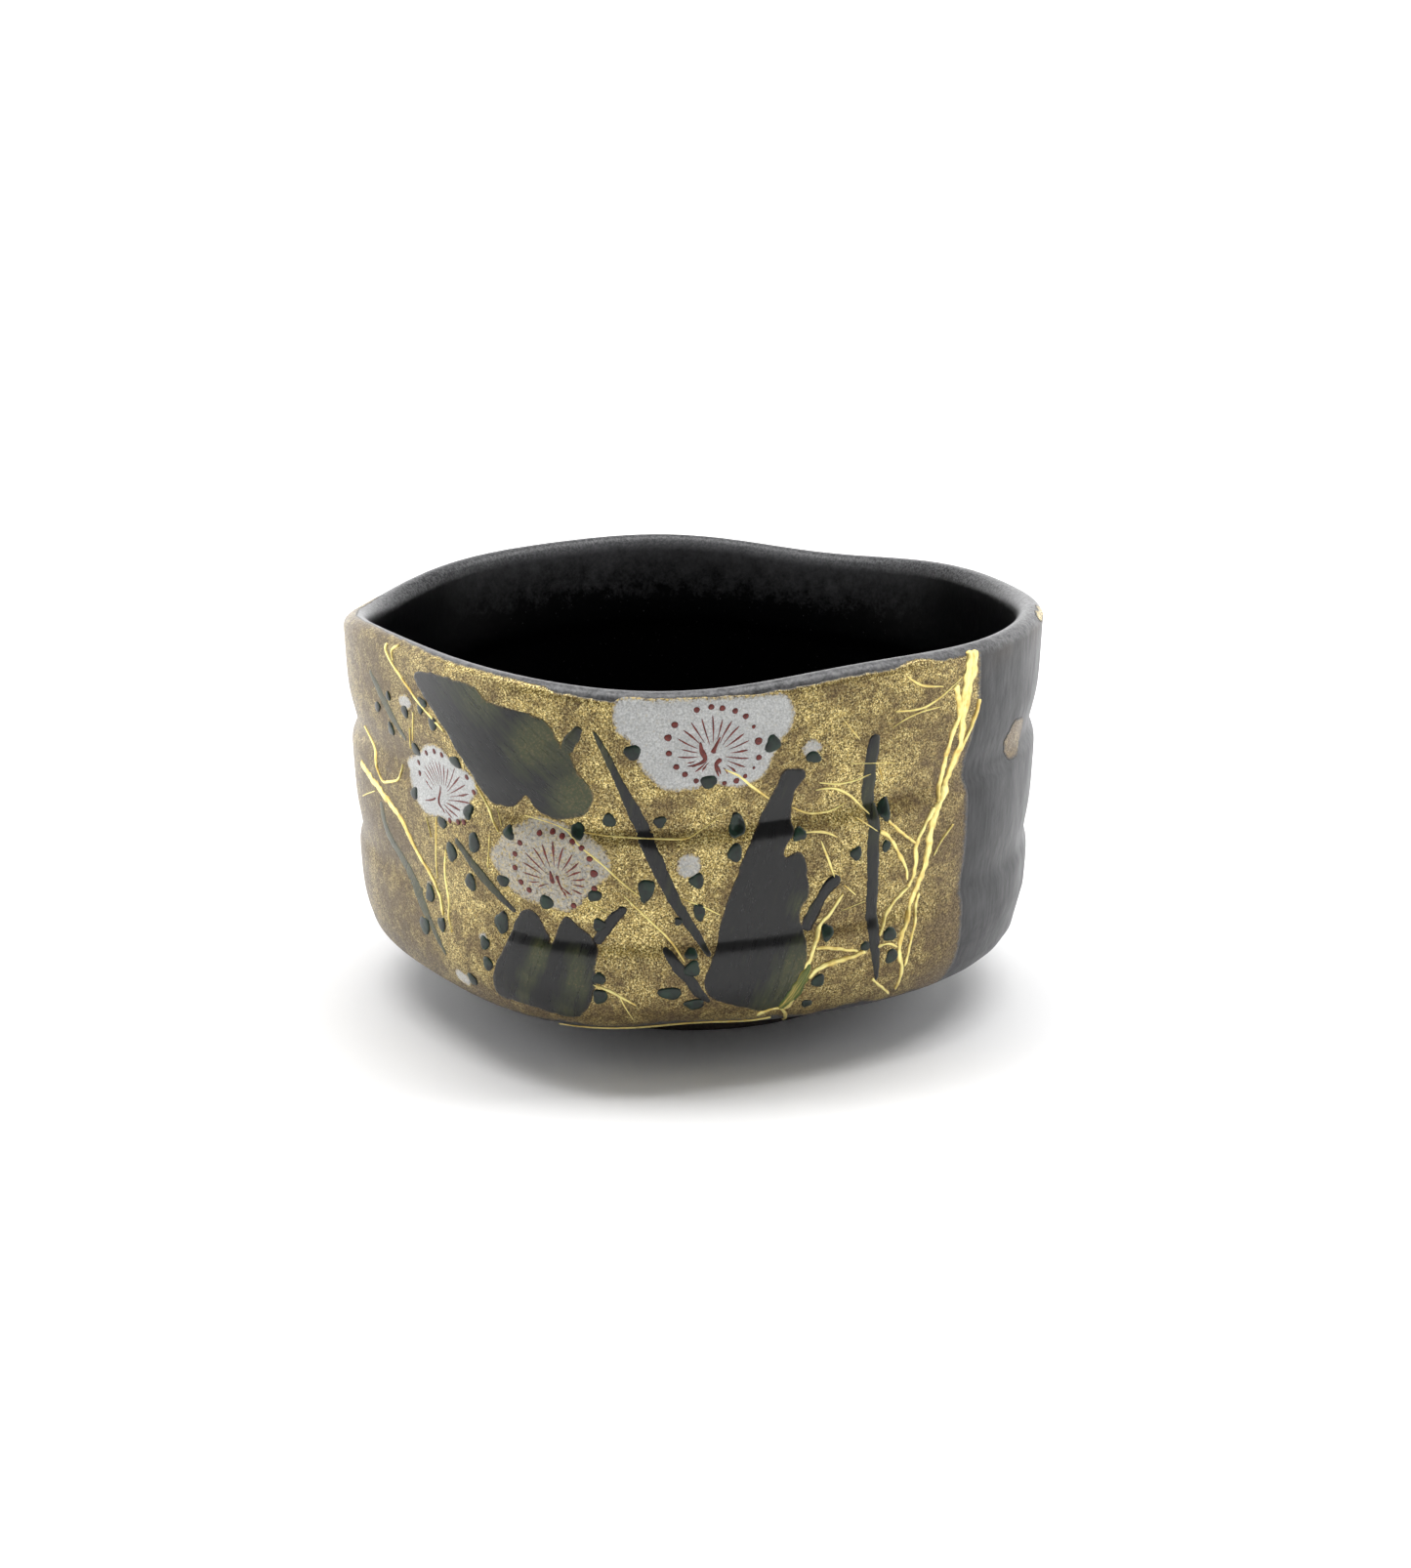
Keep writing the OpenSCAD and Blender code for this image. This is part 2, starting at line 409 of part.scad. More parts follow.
// A sheet between two layers over a grid of points, row by row from the bottom
module sheet(grid, faces) {
    n = len(grid[0]);
    m = len(grid);
    loop = concat([for (k = [0:n - 1]) [0, k]], [for (j = [1:m - 1]) [j, n - 1]],
                  [for (k = [n - 2:-1:0]) [m - 1, k]], [for (j = [m - 2:-1:1]) [j, 0]]);
    count = n*m;
    top = [for (j = [0:m - 2], k = [0:n - 2]) each [[j*n + k, (j + 1)*n + k, (j + 1)*n + k + 1],
                                                   [j*n + k, (j + 1)*n + k + 1, j*n + k + 1]]];
    edge = [for (i = [0:len(loop) - 1])
        let (p = loop[i], q = loop[(i + 1)%len(loop)], u = p[0]*n + p[1], v = q[0]*n + q[1])
        each [[u, v, v + count], [u, v + count, u + count]]];
    flat = joined(grid);
    polyhedron(concat([for (p = flat) on_wall(p, faces[1])], [for (p = flat) on_wall(p, faces[0])]),
               concat(top, edge, [for (f = top) [for (i = flipped(f)) i + count]]));
}

module gold_flecks() {
    color("#a98f45") for (f = flecks) dab(f[0], f[1], f[2], f[3], leaf_layer, 10);
}

module gold_branches() {
    color("#d9bd62") for (b = branches) drawn(b[2], b[0], b[1], thread_layer);
}

module gold_threads() {
    color("#cdb56a") for (t = threads) drawn(halved(t), thread_w, 0.6, thread_layer);
}

module large_blossom() {
    color("#c9c9cf") patch(large_middle, large_edge, enamel_layer, 5);
}

module middle_blossom() {
    color("#b9b5a8") patch(middle_middle, middle_edge, enamel_layer, 4);
}

module left_blossom() {
    color("#d6d6d4") patch(left_middle, left_edge, enamel_layer, 4);
}

// Anthers in a ring and the filaments that point at them from the blossom's heart
module stamens(heart, anthers) {
    color("#7a2a22") {
        for (p = anthers) {
            dab(p[0], p[1], anther_size, anther_size, dot_layer, 5);
            way = unit(p - heart);
            drawn([heart + way*filament_start, p - way*filament_stop], filament_w, 1.6, dot_layer);
        }
    }
}

module large_stamens() {
    stamens(large_heart, large_anthers);
}

module middle_stamens() {
    stamens(middle_heart, middle_anthers);
}

module left_stamens() {
    stamens(left_heart, left_anthers);
}

module white_buds() {
    color("#cfcfcc") for (b = buds) dab(b[0], b[1], b[2], b[3], enamel_layer, 8);
}

module upper_leaf() {
    color("#2f332c") {
        patch(upper_leaf_middle, upper_leaf_edge, enamel_layer, 8);
        brushed(halved(upper_leaf_stalk), enamel_layer);
    }
}

module tall_leaf() {
    color("#2b2d2a") {
        patch(tall_leaf_middle, tall_leaf_edge, enamel_layer, 9);
        brushed(halved(tall_leaf_stalk), enamel_layer);
    }
}

module lower_leaves() {
    color("#2e322b") {
        patch(lower_left_leaf_middle, lower_left_leaf_edge, enamel_layer, 4);
        patch(lower_right_leaf_middle, lower_right_leaf_edge, enamel_layer, 4);
        brushed(halved(lower_leaf_stalk), enamel_layer);
    }
}

module brush_strokes() {
    color("#33342f") for (s = strokes) brushed(halved(s), enamel_layer);
}

module green_dots() {
    color("#1f3328") for (d = dots) dab(d[0], d[1], d[2], d[3], dot_layer);
}

clay_body();
foot_ring();
foot_glaze();
outside_glaze();
inside_glaze();
gold_leaf();
gold_flecks();
gold_branches();
gold_threads();
large_blossom();
middle_blossom();
left_blossom();
large_stamens();
middle_stamens();
left_stamens();
white_buds();
upper_leaf();
tall_leaf();
lower_leaves();
brush_strokes();
green_dots();
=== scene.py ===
"""Tea bowl: thrown stoneware with a black glaze, a gold leaf panel and plum blossom enamels.

Run as a script it builds the bowl and its studio, and it is laid out as an add-on so that each step can be
run again from the sidebar. Lengths in the panel are metres. The drawing of the decoration is in millimetres,
in s, the distance along the wall at the rim's radius from the middle of the front, and h, the height on the
wall before the rim's waves lift it. Above the wall h goes on over the lip.
"""

import math
import random

import bmesh
import bpy
from bpy.props import FloatProperty, FloatVectorProperty, IntProperty, PointerProperty
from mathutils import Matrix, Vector, kdtree, noise


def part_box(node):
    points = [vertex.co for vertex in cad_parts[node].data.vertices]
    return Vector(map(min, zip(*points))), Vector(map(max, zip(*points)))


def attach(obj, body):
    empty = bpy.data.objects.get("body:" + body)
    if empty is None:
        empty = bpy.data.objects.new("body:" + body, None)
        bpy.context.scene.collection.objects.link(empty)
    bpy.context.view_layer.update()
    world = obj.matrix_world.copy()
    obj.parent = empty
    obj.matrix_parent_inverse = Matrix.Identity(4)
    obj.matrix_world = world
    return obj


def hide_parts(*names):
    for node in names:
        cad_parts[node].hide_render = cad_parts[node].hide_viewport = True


bl_info = {
    "name": "Tea Bowl",
    "version": (1, 0, 0),
    "blender": (4, 5, 0),
    "location": "3D View > Sidebar > Tea Bowl",
    "description": "Builds a black glazed tea bowl with a gold leaf panel and plum blossom enamels",
    "category": "Add Mesh",
}

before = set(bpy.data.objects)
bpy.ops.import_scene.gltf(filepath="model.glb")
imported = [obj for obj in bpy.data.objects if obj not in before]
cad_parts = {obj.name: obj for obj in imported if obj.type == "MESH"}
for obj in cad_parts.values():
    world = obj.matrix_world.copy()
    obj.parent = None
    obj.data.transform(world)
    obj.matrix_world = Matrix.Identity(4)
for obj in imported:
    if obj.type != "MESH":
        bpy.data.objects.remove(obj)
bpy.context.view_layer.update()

MM = 0.001
FRONT = -math.pi / 2
FOOT_LOW, FOOT_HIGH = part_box("foot_ring")

# Waves round the bowl: lobes, millimetres, phase in degrees
PLAN_WAVES = ((2, 0.2, 75), (3, 0.8, 25), (4, 0.9, -70), (5, 0.6, 170), (6, 0.3, 115), (7, 0.3, -85))
RIM_WAVES = ((1, 0.7, 40), (2, 0.2, -100), (3, 1.1, -55), (4, 0.6, 120), (7, 0.3, -85))
# Finger grooves: height and depth, with a slow slope above and a quick one below
GROOVES = ((48.7, 1.15), (29.7, 0.7), (15.3, 0.45))
GROOVE_ABOVE, GROOVE_BELOW = 4.7, 1.7
INNER_GROOVE_SHARE = 0.4
# The glaze inside pools by this much, and comes to it over this far below the lip
INSIDE_POOL, POOL_REACH = 0.3, 8
# The lip's section: its reach outwards, where it starts outside and inside under the rim's height, and its
# crest over it
LIP_OUT, LIP_DROP, INNER_LIP_DROP, LIP_CREST = 2.1, 1.6, 2.6, 0.46
# Folds sharper than this, in radians, are shaded as sharp
SHARP_FOLD = 0.8
FOOT_COLUMNS = 192
# The heel's line rises a little at the front
HEEL_RISE, HEEL_RISE_FOCUS = 0.9, 130

# Painted shapes are cut into cells this wide and high, to follow the wall
CELL_WIDTH, CELL_HEIGHT, BUD_CELL_WIDTH = 1.2, 0.6, 0.9
# Where the layers start over the glaze, and their thickness
LEAF_UNDER, LEAF_LOW, LEAF_RISE = -0.05, 0.01, 0.07
ENAMEL_START, ENAMEL_THICK, PETAL_THICK = 0.03, 0.12, 0.11
STAMEN_START, DOT_START, DOT_THICK = 0.1, 0.08, 0.24
STRAND_START, STRAND_THICK, THREAD_THICK = 0.04, 0.24, 0.2

# ---- The drawing of the decoration, in s and h ----

UPPER_LEAF = (
    (-50, 63.5), (-49.3, 61.7), (-44, 58), (-40, 54.5), (-36, 50), (-34, 47.5), (-32, 46), (-28, 46.3),
    (-26.5, 47.5), (-25.2, 48.7), (-24, 47), (-22, 45.8), (-20, 45.4), (-16.5, 46.5), (-14.8, 48.3),
    (-14.4, 50.5), (-15, 52), (-16.5, 54.5), (-17.8, 57.3), (-18.8, 57.8), (-20, 60.5), (-22, 62),
    (-27, 62.7), (-31.5, 63), (-34, 64.8), (-38, 64.9), (-45, 64.7))
TALL_LEAF = (
    (15.5, 53), (14, 50.5), (12, 46.5), (10.5, 43), (8.5, 39), (7, 35), (5.5, 30), (4.3, 25), (3.5, 22.5),
    (2.3, 19), (3, 16.5), (5, 14.8), (9, 13.2), (13, 11.8), (16, 12.5), (18, 14), (19.5, 18), (20, 22),
    (19.5, 26), (18.7, 27.5), (19, 29.5), (20, 31), (20, 33), (19.3, 37.5), (18, 39.3), (15.8, 38.8),
    (16.3, 41), (17.2, 42.5), (17, 47), (17.5, 49.5), (19, 51.5), (18.5, 52.8))
LOWER_LEAVES = (
    (-25.8, 29.9), (-27.2, 28.9), (-28.7, 26.3), (-30.5, 22.3), (-32, 19.7), (-33.3, 16.5), (-33.4, 14),
    (-32.1, 13.3), (-29.4, 13.1), (-25.7, 12.7), (-22.1, 12.1), (-19.7, 11.9), (-17.6, 12.6), (-15.8, 15),
    (-14.6, 18.9), (-14.5, 21.9), (-14.2, 24.5), (-14.9, 26.1), (-17.2, 28.3), (-18.9, 29.7), (-20.1, 28.4),
    (-21.1, 26.4), (-21.7, 24.9), (-22.4, 26.6), (-23.6, 28.8), (-24.6, 29.8))
LEAF_STALKS = {
    "upper_leaf": ((-18.5, 57, 1.6), (-17.2, 59.4, 2), (-16, 61.5, 1.2)),
    "tall_leaf": ((20, 25.5, 2.2), (21.2, 28.5, 2.4), (22.5, 31, 2.2), (24.3, 33, 2.4), (25.8, 33.6, 1.5)),
    "lower_leaves": ((-14.5, 25.5, 1.5), (-12, 29.5, 1.9), (-9.8, 32, 1.1)),
}
# Brush strokes: s, h and width
STROKES = (
    ((-14, 61, 0.6), (-12.5, 58, 1.3), (-10, 52, 1.7), (-8, 47, 2.8), (-6, 42, 2.7), (-4, 37, 2.8),
     (-1.5, 31.5, 2.1), (1, 27, 1.7), (3.3, 23.2, 0.8)),
    ((31.5, 56.4, 1.7), (31.2, 55, 2.7), (30.8, 52, 2.7), (31, 47, 3.1), (31.8, 42, 2.7), (31.8, 37, 2.9),
     (32.2, 30, 2.8), (32.5, 25, 2.7), (33, 20, 2.1), (34, 15, 0.7)),
    ((-4, 25, 1.1), (-2, 22, 2.2), (0, 19.5, 2.1), (1.5, 17, 2), (3.3, 14.9, 0.8)),
    ((-40.5, 38.5, 1.4), (-36, 35, 2.1), (-32, 32, 2), (-28, 29, 1)))
FAINT_STROKES = (
    ((-67.5, 60.5, 1.2), (-64, 58, 2.3), (-60, 55, 2.5), (-55, 51.5, 1.2)),
    ((-66.5, 38.5, 1.9), (-65, 34, 2.8), (-57, 28, 3.1), (-52, 24, 2.8), (-45.5, 17.5, 1.2)))

# Each blossom: its outline, its heart and its anthers, with a size where one isn't the usual
LARGE_EDGE = (
    (-10.5, 66.6), (-11.3, 63.5), (-10.5, 61), (-9, 59.8), (-8.2, 57.8), (-7.5, 56), (-6, 53.5), (-4, 51.8),
    (-1.5, 51.2), (1, 51.5), (3, 52.3), (4.5, 52), (6.5, 51.2), (9, 51.2), (12, 52.5), (13.4, 55.5),
    (15, 58), (16.7, 60.5), (17, 62.5), (16, 64.8), (15, 65.7), (12, 66.1), (8, 66.4), (2, 66.7), (-5, 66.8))
LARGE_HEART = (3.7, 57)
LARGE_ANTHERS = (
    (1.2, 64.8), (3.4, 65.1), (5.1, 64.7), (7.1, 64), (8.8, 62.9), (10.1, 61, 0.7), (10.9, 58.5, 1.3),
    (11, 55.8), (10.2, 54.2, 0.5), (8.8, 53, 0.8), (7.4, 52.4), (5.5, 52.2, 0.8), (1.1, 53, 0.9),
    (-0.6, 54.2), (-1.9, 55.5), (-3, 57.8), (-3.1, 60.4, 1.2), (-2.1, 62.5, 1.1))
LARGE_PISTIL = (
    ((1.7, 59.4, 0.4), (2, 57.9, 0.9), (2.5, 56.4, 0.8), (1, 55.7, 0.5), (-0.3, 55.5, 0.2)),
    ((4.8, 60, 0.3), (4.2, 58.7, 0.6), (3.6, 57.4, 1)),
    ((5, 56.3, 0.8), (4.2, 55.6, 0.8), (4.3, 54.4, 0.5), (4.6, 53.4, 0.2)))
MIDDLE_EDGE = (
    (-32.5, 38), (-31, 35.3), (-29, 33.5), (-27.5, 32), (-25, 31.2), (-22.5, 31), (-19, 30.4), (-17, 31.5),
    (-16, 33), (-14.5, 34.5), (-12, 37), (-11.7, 39), (-12.5, 41.5), (-14, 43), (-17, 44.5), (-20, 45.5),
    (-23.5, 45.8), (-26, 44.5), (-29, 42.5), (-31, 40))
MIDDLE_HEART = (-20.5, 35.5)
MIDDLE_ANTHERS = (
    (-27.3, 39), (-26.3, 41), (-23, 43.1), (-20.9, 43.6), (-19.3, 43.1), (-17.6, 42.5), (-16.2, 41.6),
    (-15, 39.9), (-14.4, 37.5, 1.3), (-14.4, 35), (-17.7, 31.8), (-25, 33.4), (-26.4, 34.5), (-27.4, 36.7))
MIDDLE_PISTIL = (
    ((-21.3, 37.2, 0.3), (-21.1, 36, 0.8), (-20.8, 35.1, 0.6)),
    ((-20.2, 36.6, 0.7), (-20, 35.6, 0.5), (-19.4, 34.2, 0.3)))
LEFT_EDGE = (
    (-56.5, 48), (-56, 45.5), (-54, 44), (-52, 42), (-49, 40.6), (-44, 41), (-40, 41.3), (-36.7, 43),
    (-37, 45), (-35.3, 47), (-35.5, 49.5), (-37, 50.5), (-40, 51), (-42, 52.5), (-45, 53.1), (-48, 52.5),
    (-51, 50.5))
LEFT_HEART = (-45.2, 44)
LEFT_ANTHERS = (
    (-52, 48.4), (-52.3, 46.5), (-48.3, 50.9), (-45.5, 51.8), (-43.3, 51.7), (-37.3, 49.3), (-36.2, 47),
    (-38, 41.9), (-39.5, 41.6), (-41.7, 41.3))
LEFT_PISTIL = (
    ((-45.6, 46, 0.2), (-45.4, 44.9, 0.5), (-45, 43.6, 0.5), (-44, 42.8, 0.2)),
    ((-49, 42.9, 0.15), (-47.5, 43.3, 0.35), (-46, 43.9, 0.45)))

# Dabs: s, h, width, height
BUDS = (
    (-53.8, 58, 4.5, 2.5), (20, 56, 3.6, 2.8), (0, 38.8, 4, 4.2), (-42, 14.3, 4.5, 3),
    (-50.5, 28.2, 1.8, 1.4), (-34.7, 23.5, 2, 1.7))
DOTS = (
    (-65, 55, 2.2, 1.5), (-60.2, 57.8, 1.5, 1.5), (-60.5, 52.2, 2, 2), (-54.3, 56.5, 2.4, 1.8),
    (-48, 59.3, 2.5, 1.3), (-48.8, 58, 1.8, 1.4), (-45.2, 56.4, 2.2, 2), (-52, 50.6, 2.6, 2),
    (-39.7, 51.3, 2.8, 1.7), (-52.8, 43.2, 2.4, 2), (-37.2, 43.7, 2, 2.2), (-44, 40.4, 2.4, 1.8),
    (-41.8, 36, 2.6, 3), (-35.8, 39, 2.4, 3.2), (-37.3, 32, 2.4, 2.8), (-50.4, 26.8, 2.6, 3),
    (-46, 22.6, 2.2, 2.4), (-52, 20.8, 3.2, 2.8), (-34.5, 22.5, 2, 2.2), (-34, 19, 2, 2.4),
    (-39, 14.8, 2.2, 2.2), (-31, 26.6, 2.8, 3.4), (-28.4, 42.2, 2, 2.2), (-17, 44.1, 2, 2.6),
    (-29.9, 34, 2.4, 1.8), (-22.2, 31.8, 2.2, 2.2), (-14.4, 33.8, 2.2, 1.8), (-12.2, 46.2, 1.9, 2.4),
    (-4.5, 46, 1.7, 2), (-8.3, 57.9, 2.3, 2.5), (3, 52.7, 2.5, 2.2), (13.3, 57.7, 2.4, 2.8),
    (20.3, 54.4, 2.8, 1.8), (7.7, 44.7, 2.6, 3.8), (7.3, 40.3, 2.2, 2.8), (1.2, 36.2, 2.2, 2.4),
    (-6.6, 35, 2.4, 3.8), (1.6, 30.8, 1.7, 3), (-1.7, 29.4, 1.3, 1.3), (0.3, 23.8, 2, 1.8),
    (0.5, 21.3, 2.5, 2.5), (-3.1, 17.2, 3.4, 2.2), (0.8, 14.7, 3.2, 2.2), (-14, 16.6, 2.2, 2.6),
    (-13.9, 28.8, 2, 2.2), (-14, 19.8, 2, 2), (18.2, 42, 2.2, 2.2), (34, 43.8, 2.2, 3.4),
    (28.6, 37.4, 2, 2.2), (34.3, 37.8, 1.6, 2), (23.8, 24.8, 2, 2.6), (35.8, 22.7, 2.6, 2.2),
    (36.4, 18.9, 2.4, 2.2), (31, 21.5, 1.6, 1.6), (22.3, 16.8, 2.4, 2), (21, 12.5, 1.8, 1.5))

# Gold branches: width, share of it at the far end, and the way they run
BRANCHES = (
    (2.3, 0.35, ((50.6, 67), (50.2, 64.5), (49.8, 62), (49.4, 58.7), (49.5, 55), (49.3, 52), (48.4, 48.4),
                 (46.9, 45), (44.8, 42.6), (43.6, 39.5), (43.1, 35.3), (42.2, 31.7), (41, 28.7), (39.7, 25),
                 (38.4, 22.4), (38, 19.2), (39.1, 16), (39.5, 12))),
    (2.6, 0.5, ((51.7, 66.9), (51.6, 65.2), (51, 62.5), (50.4, 59.5), (49.8, 57))),
    (1.3, 0.7, ((53.5, 58.7), (52.5, 56.1), (50.9, 53.2), (49.7, 50.8))),
    (1.4, 0.8, ((47.4, 62), (48.5, 57.3), (47.2, 54.4), (46.5, 51.4), (46.3, 47), (44.9, 43.4))),
    (1.2, 0.8, ((44, 42.5), (42, 40), (40.5, 37), (40.5, 35), (40.5, 32.5), (39.5, 30))),
    (1, 0.7, ((39.5, 30), (37, 28), (35, 25.5), (33.8, 22.8))),
    (0.7, 0.8, ((34.5, 42), (37, 39.8), (40.3, 37.3))),
    (0.8, 0.8, ((33, 40.5), (35, 39), (37, 36), (38.5, 33.5), (39.1, 31.3))),
    (0.8, 0.7, ((42, 28.5), (41, 24), (40, 19.5), (39.5, 16.5))),
    (0.5, 1, ((48.5, 39), (46, 36.8), (44.3, 34.5))),
    (0.7, 1, ((33.5, 21), (35.5, 21.2), (37.5, 20.3))),
    (0.8, 0.6, ((33, 15.5), (35, 13.8), (38.5, 11.3))),
    (1.2, 0.8, ((20.5, 17.5), (22, 18.8), (25, 19.6), (28, 20), (31, 20.5))),
    (0.8, 0.8, ((21.7, 22.5), (25, 22), (29.5, 20.9))),
    (1.7, 0.4, ((17, 12), (18.5, 15), (19.5, 17.5), (20.3, 20), (21.5, 23), (22.5, 26), (24.5, 28),
                (26.5, 31))),
    (0.9, 0.8, ((12, 11), (15, 12.3), (17, 11.5), (19, 8))),
    (1.9, 0.5, ((-76, 43), (-72, 42), (-67, 40.7), (-62, 39), (-58, 37.2), (-55, 34.5), (-52, 32),
                (-49.5, 30), (-47.5, 27.3), (-45.5, 24.3))),
    (0.9, 0.6, ((-60, 66.5), (-60, 65.3), (-58, 63.7), (-55, 62), (-52, 60.5), (-50, 59.3), (-46.5, 57.8),
                (-42, 55.8))),
    (0.6, 1, ((-56, 67), (-57.8, 65.8), (-57.5, 64.2))),
    (0.8, 0.7, ((-75.5, 49.5), (-70, 46.3), (-67, 43.8), (-65, 42.4), (-62, 43), (-58.8, 44.2),
                (-58.8, 46.5))),
    (0.6, 0.7, ((-35.5, 48.5), (-33, 45), (-30.3, 42))))
# A green wash over the foot of the rising branch: s, h and width
GREEN_BAND = ((15.9, 12.3, 1.2), (17.2, 13.8, 2.1), (18.6, 16, 2.3), (19.8, 18.3, 1.7), (20.5, 20, 0.9))
THREADS = (
    (0.45, ((-26, 45.3), (-19.5, 44.3), (-16, 41.5), (-13, 39), (-10, 36), (-6.5, 33))),
    (0.4, ((-10, 34), (-6, 29.5), (-3, 26), (-0.7, 22.5))),
    (0.3, ((-20, 44.3), (-14, 43.8), (-5, 43.4), (-0.5, 43.3), (2, 44.5), (5, 46.5))),
    (0.6, ((5.5, 54.5), (8, 53), (10, 51), (13, 48.5))),
    (0.4, ((-15.5, 32.5), (-12, 30.8))), (0.3, ((-1.5, 33.5), (2, 31.8), (5, 30))),
    (0.5, ((-15, 18.7), (-12, 17.5), (-8.5, 15))), (0.4, ((-11, 17), (-9.3, 11.8))),
    (0.4, ((-45.8, 41), (-46.5, 36), (-47.3, 30))),
    (0.7, ((-43.5, 36), (-44.6, 31), (-44.3, 26), (-43, 22))),
    (0.3, ((-49, 40), (-47.8, 37))), (0.3, ((-32.2, 41), (-33, 35.5))), (0.5, ((-51.3, 57), (-52.5, 52))),
    (0.4, ((-53, 54), (-54, 50.3))), (0.4, ((-69, 39.8), (-77, 37))), (0.4, ((-31.5, 45.5), (-29.8, 43))),
    (0.4, ((21.5, 50), (25, 49.2), (28, 49.3), (31, 50))),
    (0.5, ((21, 48.8), (24.5, 48.5), (28, 46.5), (31, 43.5))),
    (0.4, ((17, 46.5), (20, 45), (24, 44.8), (27, 45.8))), (0.4, ((19, 42.2), (22.5, 41.8), (25, 40.6))),
    (0.4, ((22, 40.5), (23.5, 37), (24.7, 34))), (0.4, ((26.5, 32.5), (29, 30.3))),
    (0.3, ((26.5, 28), (31, 29))), (0.3, ((25.5, 59.5), (28.5, 56))), (0.3, ((27, 52.3), (35.5, 51.2))),
    (0.3, ((32.5, 51), (33.8, 48))), (0.3, ((34.5, 57), (37, 58), (40, 58.7), (44, 59))),
    (0.4, ((35, 59.5), (40, 59.3), (44, 60.5), (48.5, 63))), (0.4, ((37, 64.8), (40, 63), (44.5, 62.2))),
    (0.4, ((28.5, 43.3), (32.5, 40.5))),
    (0.8, ((-24, 8.6), (-14, 8.9), (-4, 8.8), (4, 8.9), (11, 9.2), (15, 10))))
# Spots of leaf outside the panel: s, h, width, height
FLECKS = ((68, 49, 8.5, 7.2), (82, 66.8, 9, 2.4))

# Edges of the gold leaf panel
PANEL_RIGHT = ((8, 52.4), (12, 52.5), (30, 52.3), (45, 52), (50, 51.7), (58.5, 53.8), (64, 53.4), (70, 53))
PANEL_TOP = (
    (-112, 68.6), (-90, 68.9), (-70, 68.8), (-55, 68.4), (-48, 67.9), (-38, 67.8), (-24, 67.6), (-20.5, 66.8),
    (-12, 66.3), (20, 66.3), (34, 66.5), (36, 67.1), (38.5, 67.6), (41, 67.2), (43, 66.5), (53, 66.6))
PANEL_LEFT, PANEL_LEFT_WANDER = -112, 2.5
PANEL_RIGHT_MEAN = 52
PANEL_BOTTOM, PANEL_BOTTOM_WANDER = 9.5, 1.2

# ---- Small tools ----


def display(red, green, blue):
    """A colour as the screen shows it, 0 to 255, in the linear values that shaders take."""
    shares = (red / 255, green / 255, blue / 255)
    return tuple(c / 12.92 if c <= 0.04045 else ((c + 0.055) / 1.055) ** 2.4 for c in shares)


def between(table, x):
    """Reads a table of (place, value) rows at x, straight between its rows."""
    for (x0, y0), (x1, y1) in zip(table, table[1:]):
        if x <= x1:
            return y0 + (y1 - y0) * max(0.0, x - x0) / (x1 - x0)
    return table[-1][1]


def clamp(x, low=0.0, high=1.0):
    return min(high, max(low, x))


def evenly(count, low=0.0, high=1.0):
    return [low + (high - low) * i / (count - 1) for i in range(count)]


def oval(s, h, width, height, sides):
    """The outline of an oval dab."""
    turns = evenly(sides + 1, 0, math.tau)[:-1]
    return [(s + width / 2 * math.cos(a), h + height / 2 * math.sin(a)) for a in turns]


def smooth_line(points, spacing, closed=False):
    """A Catmull-Rom curve through points of any size, with a point about every spacing."""
    count = len(points)
    out = []
    for i in range(count if closed else count - 1):
        near = [k % count if closed else clamp(k, 0, count - 1) for k in range(i - 1, i + 3)]
        a, b, c, d = (Vector(points[k]) for k in near)
        bend = 2 * a - 5 * b + 4 * c - d
        twist = 3 * b - a - 3 * c + d
        steps = max(1, round((c.xy - b.xy).length / spacing))
        for t in (k / steps for k in range(steps)):
            out.append(0.5 * (2 * b + (c - a) * t + bend * t * t + twist * t**3))
    return out if closed else out + [Vector(points[-1])]


def wobble(point, period, seed):
    """Smooth noise from -1 to 1 at a flat point, in millimetres."""
    return noise.noise(Vector((point[0] / period, point[1] / period, seed * 7.3)))


